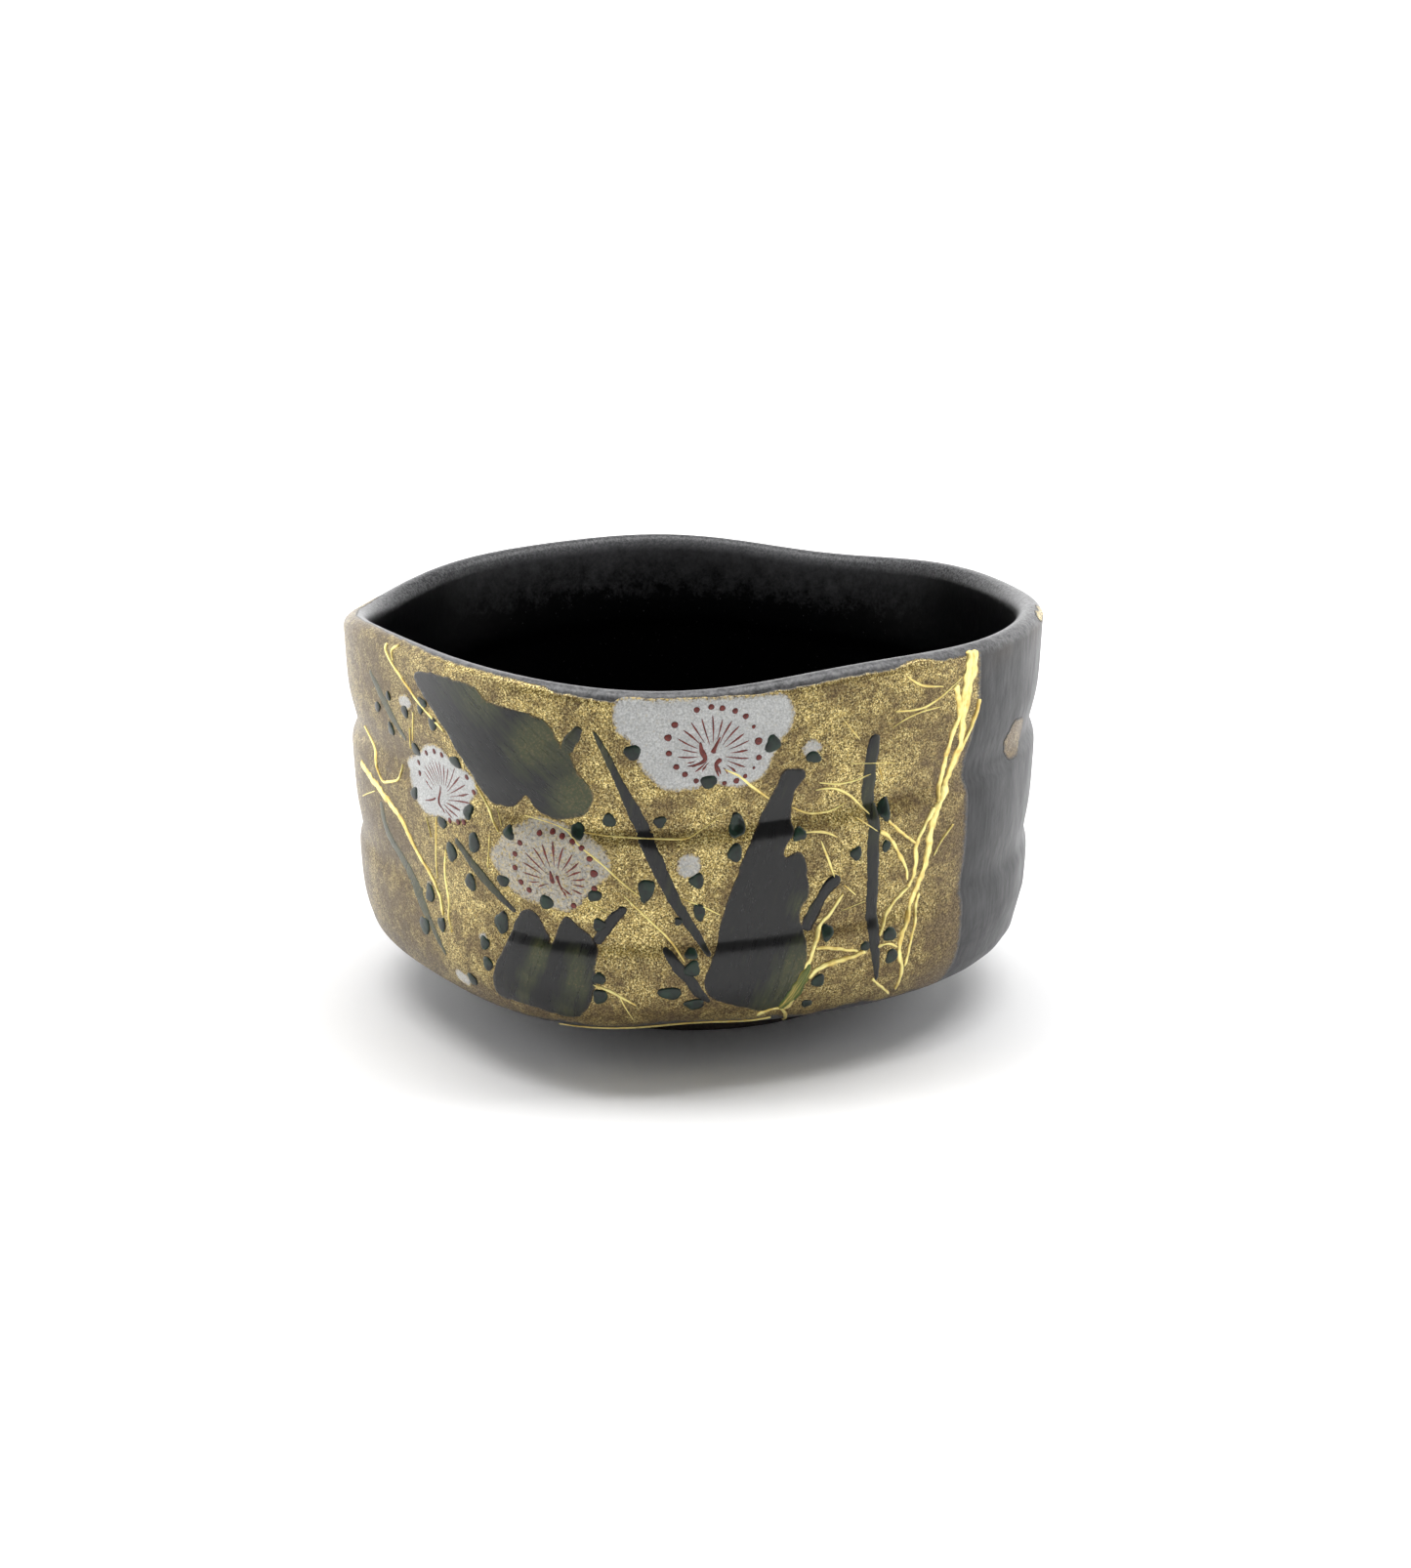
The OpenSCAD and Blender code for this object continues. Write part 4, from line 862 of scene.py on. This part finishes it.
class TEABOWL_PG_colours(bpy.types.PropertyGroup):
    """Colours of the clay, glaze, leaf and enamels"""

    glaze_deep: colour("Glaze, deep", "Darker streaks of the outside glaze", (34, 34, 36))
    glaze_pale: colour("Glaze, pale", "Paler streaks of the outside glaze", (60, 60, 62))
    lip_deep: colour("Lip, deep", "Darker grains of the lip", (50, 50, 52))
    lip_pale: colour("Lip, pale", "Paler grains of the lip", (106, 106, 107))
    lip_brown: colour("Lip, brown", "Brown tinge under the lip", (62, 54, 48))
    inside_deep: colour("Inside", "Black glaze inside", (1, 1, 2))
    # Inside, haze: the grey speckle, shown only on the upper back wall as painted light
    inside_haze: colour("Inside, haze", "Grey speckle of the upper inside", (92, 92, 94))
    leaf_olive: colour("Leaf, olive", "Hollows of the leaf", (76, 60, 22))
    # Leaf, brown and Leaf, dull show in the leaf's patches and beside its right edge, and also as painted
    # shade at the left and low down
    leaf_brown: colour("Leaf, brown", "Worn brown patches of the leaf", (78, 62, 36))
    leaf_bright: colour("Leaf, bright", "Flakes of the leaf", (200, 174, 100))
    leaf_dull: colour("Leaf, dull", "Flakes where the leaf is worn", (134, 112, 74))
    # Leaf, glint is also the painted highlight where the leaf turns over the lip
    leaf_glint: colour("Leaf, glint", "Finest sparkle of the leaf", (255, 238, 168))
    gold_pale: colour("Gold, pale", "Strands at their brightest", (252, 240, 160))
    gold_amber: colour("Gold, amber", "Amber stretches of the strands", (216, 184, 98))
    gold_shade: colour("Gold, shade", "Edges of the strands", (176, 142, 70))
    gilt_green: colour("Gilt, green", "Green over a strand", (66, 86, 24))
    petal_white: colour("Petal, white", "White enamel", (214, 215, 213))
    petal_grey: colour("Petal, grey", "Grey grains of the white enamel", (163, 164, 163))
    enamel_black: colour("Enamel, black", "Black enamel of leaves and strokes", (6, 6, 7))
    enamel_green: colour("Enamel, green", "Where that enamel is thin", (56, 62, 30))
    dot_deep: colour("Dots, deep", "Dark part of the green dabs", (5, 12, 9))
    dot_green: colour("Dots, green", "Bright part of the green dabs", (18, 44, 30))
    red_deep: colour("Red, deep", "Rings of the anthers", (74, 14, 11))
    red_bright: colour("Red, bright", "Filaments and the middles of the anthers", (120, 38, 24))
    clay_deep: colour("Clay, deep", "Dark grains of the foot's clay", (34, 30, 27))
    clay_pale: colour("Clay, pale", "Pale grains of the foot's clay", (66, 58, 50))


class TEABOWL_PG_studio(bpy.types.PropertyGroup):
    """Camera and light"""

    lens: number("Lens", "Focal length", 56, 20, 120, unit="CAMERA")
    elevation: number(
        "Elevation", "How far the camera looks down", math.radians(15.75), 0, 1.5, unit="ROTATION")
    distance: length("Distance", "From the camera to its aim", 0.4325, 0.2, 2)
    aim: FloatVectorProperty(
        name="Aim", description="Point at the middle of the view", default=(0.0025, 0, 0.0345), size=3,
        subtype="XYZ", unit="LENGTH")
    overhead: number("Overhead", "Power of the overhead light", 70, 0, 500, unit="POWER")
    sky: number("Sky", "Brightness of the studio above the backdrop", 0.2, 0, 5)
    backdrop: number("Backdrop", "Brightness of the lit backdrop", 1.05, 0, 5)


# The studio, in metres
WHITE = (1, 1, 1, 1)
FLOOR_RADIUS = 3.0
BACKDROP_END, BACKDROP_FOOT, BACKDROP_HEAD = (1.0, -0.3), -0.01, 0.75
BACKDROP_SWEEP = math.radians(213.4)
LAMP_SIZE, LAMP_PLACE = (3.0, 0.8), (0.12, 0.29, 2.0)


# ---- Operators ----


class BowlStep:
    """What the steps share: they add their pieces in one go and can be undone"""

    bl_options = {"REGISTER", "UNDO"}

    def execute(self, context):
        self.build(Form(context.scene.teabowl_sizes), context.scene.teabowl_colours)
        return {"FINISHED"}


class TEABOWL_OT_body(BowlStep, bpy.types.Operator):
    """Throw the glazed walls, inside and outside, round the clay body"""

    bl_idname = "teabowl.body"
    bl_label = "Throw the Body"

    def build(self, form, colours):
        columns = bpy.context.scene.teabowl_sizes.columns
        crest, inner_edge = math.pi / 2 - 0.01, math.pi
        heel_top, floor_top = form.foot_h + form.heel_h, form.floor_z + form.floor_h
        foot_edge = form.foot_r - 0.4

        heel = [form.foot_h + form.heel_h * climb(b, form.heel_n) for b in evenly(20)]
        wall = evenly(64, heel_top, form.lip_z)[1:]
        outer = [(foot_edge, form.foot_h + 0.02)]
        outer += [(form.outside_r(z), z) for z in heel + wall]
        outer += [form.lip(a) for a in evenly(11, 0, crest)[1:]]
        outer += [form.lip(a, -form.glaze) for a in evenly(6, crest, 0)]
        hidden = evenly(22, form.foot_h + 3, form.lip_z - 1)[::-1]
        outer += [(form.outside_r(z) - form.glaze, z) for z in hidden]
        outer += [(foot_edge, form.foot_h + form.glaze)]
        bm = spun(outer, True, columns)
        throw(bm, form)
        finish_piece(
            bm, "outside_glaze_coat", "black_glaze", "outside_glaze", outside_glaze_finish(colours))

        floor = [form.floor_z + form.floor_h * climb(b, form.floor_n) for b in evenly(40)[:-1]]
        wall = evenly(40, floor_top, form.inner_lip_z)[:-1]
        inner = [(form.inside_r(z), z) for z in floor + wall]
        inner += [form.lip(a) for a in evenly(12, crest, inner_edge)[::-1]]
        inner += [form.lip(a, -form.glaze) for a in evenly(6, inner_edge, crest)[:0:-1]]
        hidden = evenly(12, floor_top, form.inner_lip_z)[:0:-1]
        inner += [(form.inside_r(z) + form.glaze, z) for z in hidden]
        for share in evenly(12)[:0:-1]:
            z = form.floor_z + form.floor_h * climb(share, form.floor_n)
            inner.append((form.inside_r(z) + form.glaze * share, z - form.glaze * (1 - share)))
        inner.append((0.0, form.floor_z - form.glaze))
        bm = spun(inner, False, columns)
        throw(bm, form)
        finish_piece(bm, "inside_glaze_coat", "inside_glaze", "inside_glaze", inside_glaze_finish(colours))

        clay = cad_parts["clay_body"]
        clay.data.materials.clear()
        clay.data.materials.append(clay_finish(colours, "body_clay", colours.clay_pale, colours.clay_deep))


class TEABOWL_OT_foot(BowlStep, bpy.types.Operator):
    """Turn the foot ring and glaze its hollow"""

    bl_idname = "teabowl.foot"
    bl_label = "Turn the Foot"

    def build(self, form, colours):
        r, top, inner = form.foot_r, form.foot_h, form.foot_r - 6
        profile = [(inner, top), (inner, 1.6), (inner + 0.25, 0.8), (inner + 1, 0.15), (inner + 1.6, 0),
                   (r - 1.3, 0), (r - 0.85, 0.2), (r - 0.4, 0.8), (r - 0.35, 2.6), (r - 0.15, 4.6), (r, top)]
        bm = spun(profile, True, FOOT_COLUMNS)
        edges = [e for e in bm.edges if abs(e.calc_face_angle(0)) > 0.35 and e.verts[0].co.z < top - 0.5]
        bmesh.ops.bevel(bm, geom=edges, offset=0.12, segments=2, profile=0.5, affect="EDGES", material=-1)
        bmesh.ops.scale(bm, vec=(MM, MM, MM), verts=bm.verts[:])
        clay = clay_finish(colours, "foot_clay", colours.clay_deep, colours.clay_pale)
        finish_piece(bm, "turned_foot_ring", "foot_clay", "foot_ring", clay)

        skin = form.glaze
        face, side = top - skin, inner - skin
        hollow = [(0, face), (inner * 0.5, face - 0.12), (inner - 1.2, face), (side - 0.25, face - 0.3),
                  (side, face - 1), (side, 2.2), (inner - 0.15, 1.7), (inner + 0.05, 1.9),
                  (inner + 0.05, top), (0, top)]
        bm = spun(hollow, False, FOOT_COLUMNS)
        bmesh.ops.scale(bm, vec=(MM, MM, MM), verts=bm.verts[:])
        level = bm.verts.layers.float.new("level")
        for v in bm.verts:
            v[level] = v.co.z / MM
        glaze = bpy.data.materials["black_glaze_outside"]
        finish_piece(bm, "foot_hollow_glaze", "black_glaze", "foot_glaze", glaze)


class TEABOWL_OT_leaf(BowlStep, bpy.types.Operator):
    """Lay the gold leaf panel and its stray spots"""

    bl_idname = "teabowl.leaf"
    bl_label = "Lay the Gold Leaf"

    def build(self, form, colours):
        bm = bmesh.new()
        cover = bm.verts.layers.float.new("cover")
        made = bmesh.ops.create_grid(bm, x_segments=230, y_segments=96, size=0.5)["verts"]
        top = set(extruded(bm, bm.faces[:], bmesh.types.BMVert))
        for v in list(top) + made:
            u, t = v.co.x + 0.5, v.co.y + 0.5
            inside = clamp(min(u * 60, (1 - u) * 80, t * 40, (1 - t) * 90))
            v.co = panel_point(u, t, LEAF_LOW + LEAF_RISE * inside if v in top else LEAF_UNDER)
            v[cover] = inside
        bmesh.ops.recalc_face_normals(bm, faces=bm.faces[:])
        wrap(bm, form)
        finish_piece(bm, "gold_leaf_panel", "gold_leaf", "gold_leaf", gold_leaf_finish(colours))

        bm = bmesh.new()
        for i, fleck in enumerate(FLECKS):
            outline = rough_edge(oval(*fleck, sides=14), 0.5, 0.5, i + 40)
            merge_into(bm, painted_shape(outline, LEAF_UNDER, 0.12, 1.0, eased=0.1))
        wrap(bm, form)
        dulled_and_shaded = gold_leaf_finish(colours, "worn_gold_leaf", dull=0.1)
        finish_piece(bm, "gold_leaf_spots", "gold_leaf", "gold_flecks", dulled_and_shaded)


def panel_point(u, t, lift):
    """A point of the panel from its shares across and up, with ragged edges."""
    s = PANEL_LEFT + (PANEL_RIGHT_MEAN - PANEL_LEFT) * u
    low = PANEL_BOTTOM + PANEL_BOTTOM_WANDER * wobble((s, 0), 9, 3) + 0.5 * wobble((s, 0), 2, 4)
    high = between(PANEL_TOP, s) + 0.28 * wobble((s, 0), 2.4, 5) + 0.15 * wobble((s, 0), 0.9, 6)
    h = low + (high - low) * t
    right = between(PANEL_RIGHT, h) + 0.2 * wobble((h, 0), 3, 7)
    left = PANEL_LEFT + PANEL_LEFT_WANDER * wobble((h, 0), 11, 8) + 0.6 * wobble((h, 0), 2, 9)
    return left + (right - left) * u, h, lift


def merge_into(bm, part):
    """Adds one bmesh to another, and frees it."""
    mesh = bpy.data.meshes.new("part")
    part.to_mesh(mesh)
    part.free()
    bm.from_mesh(mesh)
    bpy.data.meshes.remove(mesh)


class TEABOWL_OT_strands(BowlStep, bpy.types.Operator):
    """Draw the gold branches and the fine gold threads"""

    bl_idname = "teabowl.strands"
    bl_label = "Draw the Gold Strands"

    def build(self, form, colours):
        gold = bright_gold_finish(colours)
        bm = bmesh.new()
        for i, (width, tip, points) in enumerate(BRANCHES):
            last = len(points) - 1
            line = [(s, h, 0.88 * width * (1 + (tip - 1) * k / last)) for k, (s, h) in enumerate(points)]
            ribbon(bm, line, STRAND_START, STRAND_THICK, 0.4, 6, frayed=0.75, seed=i + 1)
        branches = len(bm.faces)
        ribbon(bm, GREEN_BAND, 0.12, STRAND_THICK, 0.4, 6, frayed=0.4, seed=30)
        bm.faces.ensure_lookup_table()
        for face in bm.faces[branches:]:
            face.material_index = 1
        wrap(bm, form)
        gilt = green_gilt_finish(colours)
        finish_piece(bm, "gold_branch_strands", "bright_gold", "gold_branches", gold, gilt)

        bm = bmesh.new()
        for i, (width, points) in enumerate(THREADS):
            last = len(points) - 1
            widths = [1.15 * width * (1 - 0.5 * abs(2 * k / last - 1)) for k in range(last + 1)]
            line = [(s, h, w) for (s, h), w in zip(points, widths)]
            ribbon(bm, line, STRAND_START, THREAD_THICK, 0.5, 2, frayed=0.3, seed=i + 50)
        wrap(bm, form)
        finish_piece(bm, "gold_thread_lines", "bright_gold", "gold_threads", gold)


class TEABOWL_OT_blossoms(BowlStep, bpy.types.Operator):
    """Paint the three blossoms, their stamens and the white buds"""

    bl_idname = "teabowl.blossoms"
    bl_label = "Paint the Blossoms"

    def build(self, form, colours):
        reds = (red_enamel_finish(colours, "red_enamel", colours.red_bright),
                red_enamel_finish(colours, "deep_red_enamel", colours.red_deep))
        flowers = (
            ("large", LARGE_EDGE, LARGE_HEART, LARGE_ANTHERS, LARGE_PISTIL, 0.0, 22),
            ("middle", MIDDLE_EDGE, MIDDLE_HEART, MIDDLE_ANTHERS, MIDDLE_PISTIL, 0.42, 17),
            ("left", LEFT_EDGE, LEFT_HEART, LEFT_ANTHERS, LEFT_PISTIL, 0.0, 19))
        for k, (name, edge, heart, anthers, pistil, thin, rays) in enumerate(flowers):
            outline = rough_edge(edge, 0.5, 0.22, k + 11)
            bm = painted_shape(outline, ENAMEL_START, PETAL_THICK, 1.2)
            wrap(bm, form)
            paint = petal_finish(colours, name + "_petal_enamel", thin)
            finish_piece(bm, name + "_blossom_petals", "white_enamel", name + "_blossom", paint)
            bm = stamens(Vector(heart), anthers, pistil, rays, k)
            wrap(bm, form)
            finish_piece(bm, name + "_blossom_stamens", "red_enamel", name + "_stamens", *reds)

        bm = bmesh.new()
        for i, bud in enumerate(BUDS):
            outline = rough_edge(oval(*bud, sides=12), 0.4, 0.3, i + 21)
            merge_into(bm, painted_shape(outline, ENAMEL_START, ENAMEL_THICK, 0.9, 0.1, BUD_CELL_WIDTH))
        wrap(bm, form)
        paint = petal_finish(colours, "bud_enamel", 0.15)
        finish_piece(bm, "white_bud_dabs", "white_enamel", "white_buds", paint)


def stamens(heart, anthers, pistil, rays, seed):
    """A bmesh of anthers in a ring, filaments that fan out towards them and the pistil's strokes."""
    bm = bmesh.new()
    drawn = random.Random(seed + 5)
    spots = [(Vector(a[:2]), a[2] if len(a) > 2 else 1.0) for a in anthers]
    for i, (place, size) in enumerate(spots):
        dab(bm, *place, size, size, STAMEN_START, 0.16, i + seed * 30, uneven=0.08, sides=12)
    for f in bm.faces:
        f.material_index = 0 if min(v.co.z for v in f.verts) > 0.2 else 1
    reach = {math.atan2(*(place - heart).yx): (place - heart).length for place, _ in spots}
    for i, angle in enumerate(spread(sorted(reach), rays)):
        near = min(reach, key=lambda w: abs(math.remainder(w - angle, math.tau)))
        far = reach[near] - 1.3 - drawn.uniform(0, 0.5)
        start = drawn.uniform(1.9, 2.8) if far > 4 else 1.2
        if far < start + 0.6:
            continue
        way = Vector((math.cos(angle), math.sin(angle)))
        bend = Vector((-way.y, way.x)) * drawn.uniform(-0.12, 0.12)
        thick = drawn.uniform(0.38, 0.6)
        line = []
        for t, width in zip(evenly(4), (0.14, 0.3, thick, 0.24)):
            place = heart + way * (start + (far - start) * t) + bend * math.sin(math.pi * t)
            line.append((*place, width))
        ribbon(bm, line, STAMEN_START, 0.08, 0.5, 2, 0.3, i + seed * 40)
    for i, stroke in enumerate(pistil):
        ribbon(bm, stroke, STAMEN_START, 0.12, 0.3, 4, 0.4, i + seed * 40 + 31)
    return bm


def spread(ways, rays):
    """Evenly fanned angles between the first and last way, over their widest fan."""
    gaps = [(b - a) % math.tau for a, b in zip(ways, ways[1:] + ways[:1])]
    widest = max(range(len(gaps)), key=lambda i: gaps[i])
    first = ways[(widest + 1) % len(ways)]
    fan = math.tau - gaps[widest]
    return [first + fan * i / (rays - 1) for i in range(rays)]


class TEABOWL_OT_leaves(BowlStep, bpy.types.Operator):
    """Brush the dark leaves and the loose strokes"""

    bl_idname = "teabowl.leaves"
    bl_label = "Brush the Leaves"

    def build(self, form, colours):
        leaves = (
            ("upper_leaf", UPPER_LEAF, -53,
             ((-15, 52, 8, 0.75), (-21, 60, 7, 0.8), (-33, 64, 7, 0.8), (-25, 56, 6, 0.6), (-18, 48, 6, 0.5),
              (-41, 64, 4, 0.35))),
            ("tall_leaf", TALL_LEAF, 18, ((19, 19, 7, 0.9), (14, 12.5, 7, 0.5), (19, 30, 4, 0.5))),
            ("lower_leaves", LOWER_LEAVES, 18,
             ((-23.4, 24, 2.4, 0.7), (-24.2, 21.6, 2.8, 0.8), (-26, 18.5, 2.8, 0.7), (-27.5, 15, 3, 0.45),
              (-17.2, 22.5, 3.6, 0.55), (-17.4, 18.5, 4, 0.65), (-20, 13.6, 4, 0.45))))
        for k, (node, edge, lean, thin_spots) in enumerate(leaves):
            outline = rough_edge(edge, 0.5, 0.25, k + 61)
            bm = painted_shape(outline, ENAMEL_START, ENAMEL_THICK, 1.0)
            ribbon(bm, LEAF_STALKS[node], 0.05, 0.14, 0.5, 4, 0.3, k + 71)
            paint = dark_enamel_finish(colours, node + "_enamel", thin_spots, lean)
            brush_on(bm, form, node + "_enamel_shape", node, paint)

        bm = bmesh.new()
        for i, line in enumerate(STROKES):
            ribbon(bm, line, ENAMEL_START, ENAMEL_THICK, 0.5, 4, 0.25, i + 81)
        thin_spots = ((-12, 58, 6, 0.4), (32, 46, 9, 0.3), (-36, 35, 9, 0.5))
        paint = dark_enamel_finish(colours, "stroke_enamel", thin_spots, 10, 0.12)
        brush_on(bm, form, "dark_brush_strokes", "brush_strokes", paint)

        bm = bmesh.new()
        for i, line in enumerate(FAINT_STROKES):
            ribbon(bm, line, ENAMEL_START, 0.1, 0.5, 4, 0.4, i + 91)
        paint = dark_enamel_finish(colours, "faint_stroke_enamel", (), 40, 0.75)
        brush_on(bm, form, "faint_brush_strokes", None, paint)


def brush_on(bm, form, name, node, paint):
    cover_strokes(bm)
    wrap(bm, form)
    finish_piece(bm, name, "dark_enamel", node, paint)


def cover_strokes(bm):
    """Marks brush strokes, which have no cover yet, as solid paint but for their edges."""
    cover = bm.verts.layers.float.get("cover") or bm.verts.layers.float.new("cover")
    along = bm.loops.layers.uv.get("along")
    for v in bm.verts:
        if v[cover] == 0.0 and any(loop[along].uv.x != 0.0 for loop in v.link_loops):
            side = max(abs(loop[along].uv.y) for loop in v.link_loops)
            v[cover] = clamp(1.4 - 2.4 * side)


class TEABOWL_OT_dots(BowlStep, bpy.types.Operator):
    """Dab the raised green dots"""

    bl_idname = "teabowl.dots"
    bl_label = "Dab the Green Dots"

    def build(self, form, colours):
        bm = bmesh.new()
        for i, (s, h, w, t) in enumerate(DOTS):
            dab(bm, s, h, 1.08 * w, 1.08 * t, DOT_START, DOT_THICK, i, uneven=0.2)
        bmesh.ops.recalc_face_normals(bm, faces=bm.faces[:])
        wrap(bm, form)
        finish_piece(bm, "green_enamel_dots", "green_enamel", "green_dots", green_enamel_finish(colours))


class TEABOWL_OT_stage(bpy.types.Operator):
    """Set the floor, the lit backdrop, the overhead light and the camera"""

    bl_idname = "teabowl.stage"
    bl_label = "Set the Studio"
    bl_options = {"REGISTER", "UNDO"}

    def execute(self, context):
        studio = context.scene.teabowl_studio
        context.scene.view_settings.view_transform = "Standard"
        floor = Finish("studio_floor", roughness=0.9)
        floor.set("Base Color", floor.blend(floor.noise(0.004, 2), (0.9, 0.9, 0.9), (0.88, 0.88, 0.88)))
        bm = bmesh.new()
        bmesh.ops.create_circle(bm, cap_ends=True, radius=FLOOR_RADIUS, segments=96)
        linked_object(bm, "floor", [floor.material])

        wall = Finish(
            "studio_backdrop", roughness=0.9, Emission_Color=WHITE, Emission_Strength=studio.backdrop)
        bm = bmesh.new()
        foot = bm.verts.new((*BACKDROP_END, BACKDROP_FOOT))
        head = bm.verts.new((*BACKDROP_END, BACKDROP_HEAD))
        edge = bm.edges.new((foot, head))
        bmesh.ops.spin(
            bm, geom=[foot, head, edge], cent=(0, 0, 0), axis=(0, 0, 1), angle=BACKDROP_SWEEP, steps=64)
        bmesh.ops.reverse_faces(bm, faces=bm.faces[:])
        linked_object(bm, "backdrop", [wall.material])

        world = bpy.data.worlds.new("studio")
        world.use_nodes = True
        sky = world.node_tree.nodes["Background"]
        sky.inputs["Color"].default_value = WHITE
        sky.inputs["Strength"].default_value = studio.sky
        context.scene.world = world

        lamp = bpy.data.lights.new("overhead", "AREA")
        lamp.shape = "RECTANGLE"
        lamp.size, lamp.size_y = LAMP_SIZE
        lamp.energy = studio.overhead
        light = bpy.data.objects.new("overhead", lamp)
        light.location = LAMP_PLACE
        context.scene.collection.objects.link(light)

        lens = bpy.data.cameras.new("camera")
        lens.lens = studio.lens
        lens.sensor_width = 36
        lens.clip_start = 0.01
        camera = bpy.data.objects.new("camera", lens)
        aim = Vector(studio.aim)
        back = Vector((0, -math.cos(studio.elevation), math.sin(studio.elevation)))
        camera.location = aim + back * studio.distance
        camera.rotation_euler = back.to_track_quat("Z", "Y").to_euler()
        context.scene.collection.objects.link(camera)
        context.scene.camera = camera
        return {"FINISHED"}


class TEABOWL_PT_panel(bpy.types.Panel):
    """The steps that build the bowl, with its sizes and colours"""

    bl_idname = "TEABOWL_PT_panel"
    bl_label = "Tea Bowl"
    bl_space_type = "VIEW_3D"
    bl_region_type = "UI"
    bl_category = "Tea Bowl"

    def draw(self, context):
        for step in STEPS:
            self.layout.operator(step.bl_idname)
        for key in GROUPS:
            group = getattr(context.scene, key)
            box = self.layout.box()
            for name in group.__annotations__:
                box.prop(group, name)


STEPS = (TEABOWL_OT_stage, TEABOWL_OT_body, TEABOWL_OT_foot, TEABOWL_OT_leaf, TEABOWL_OT_strands,
         TEABOWL_OT_blossoms, TEABOWL_OT_leaves, TEABOWL_OT_dots)
GROUPS = {
    "teabowl_sizes": TEABOWL_PG_sizes,
    "teabowl_colours": TEABOWL_PG_colours,
    "teabowl_studio": TEABOWL_PG_studio,
}
CLASSES = (*GROUPS.values(), *STEPS, TEABOWL_PT_panel)


def register():
    for cls in CLASSES:
        bpy.utils.register_class(cls)
    for key, cls in GROUPS.items():
        setattr(bpy.types.Scene, key, PointerProperty(type=cls))


def unregister():
    for key in reversed(GROUPS):
        delattr(bpy.types.Scene, key)
    for cls in reversed(CLASSES):
        bpy.utils.unregister_class(cls)


def main():
    register()
    bpy.ops.teabowl.stage()
    bpy.ops.teabowl.body()
    bpy.ops.teabowl.foot()
    bpy.ops.teabowl.leaf()
    bpy.ops.teabowl.strands()
    bpy.ops.teabowl.blossoms()
    bpy.ops.teabowl.leaves()
    bpy.ops.teabowl.dots()


if __name__ == "__main__":
    main()
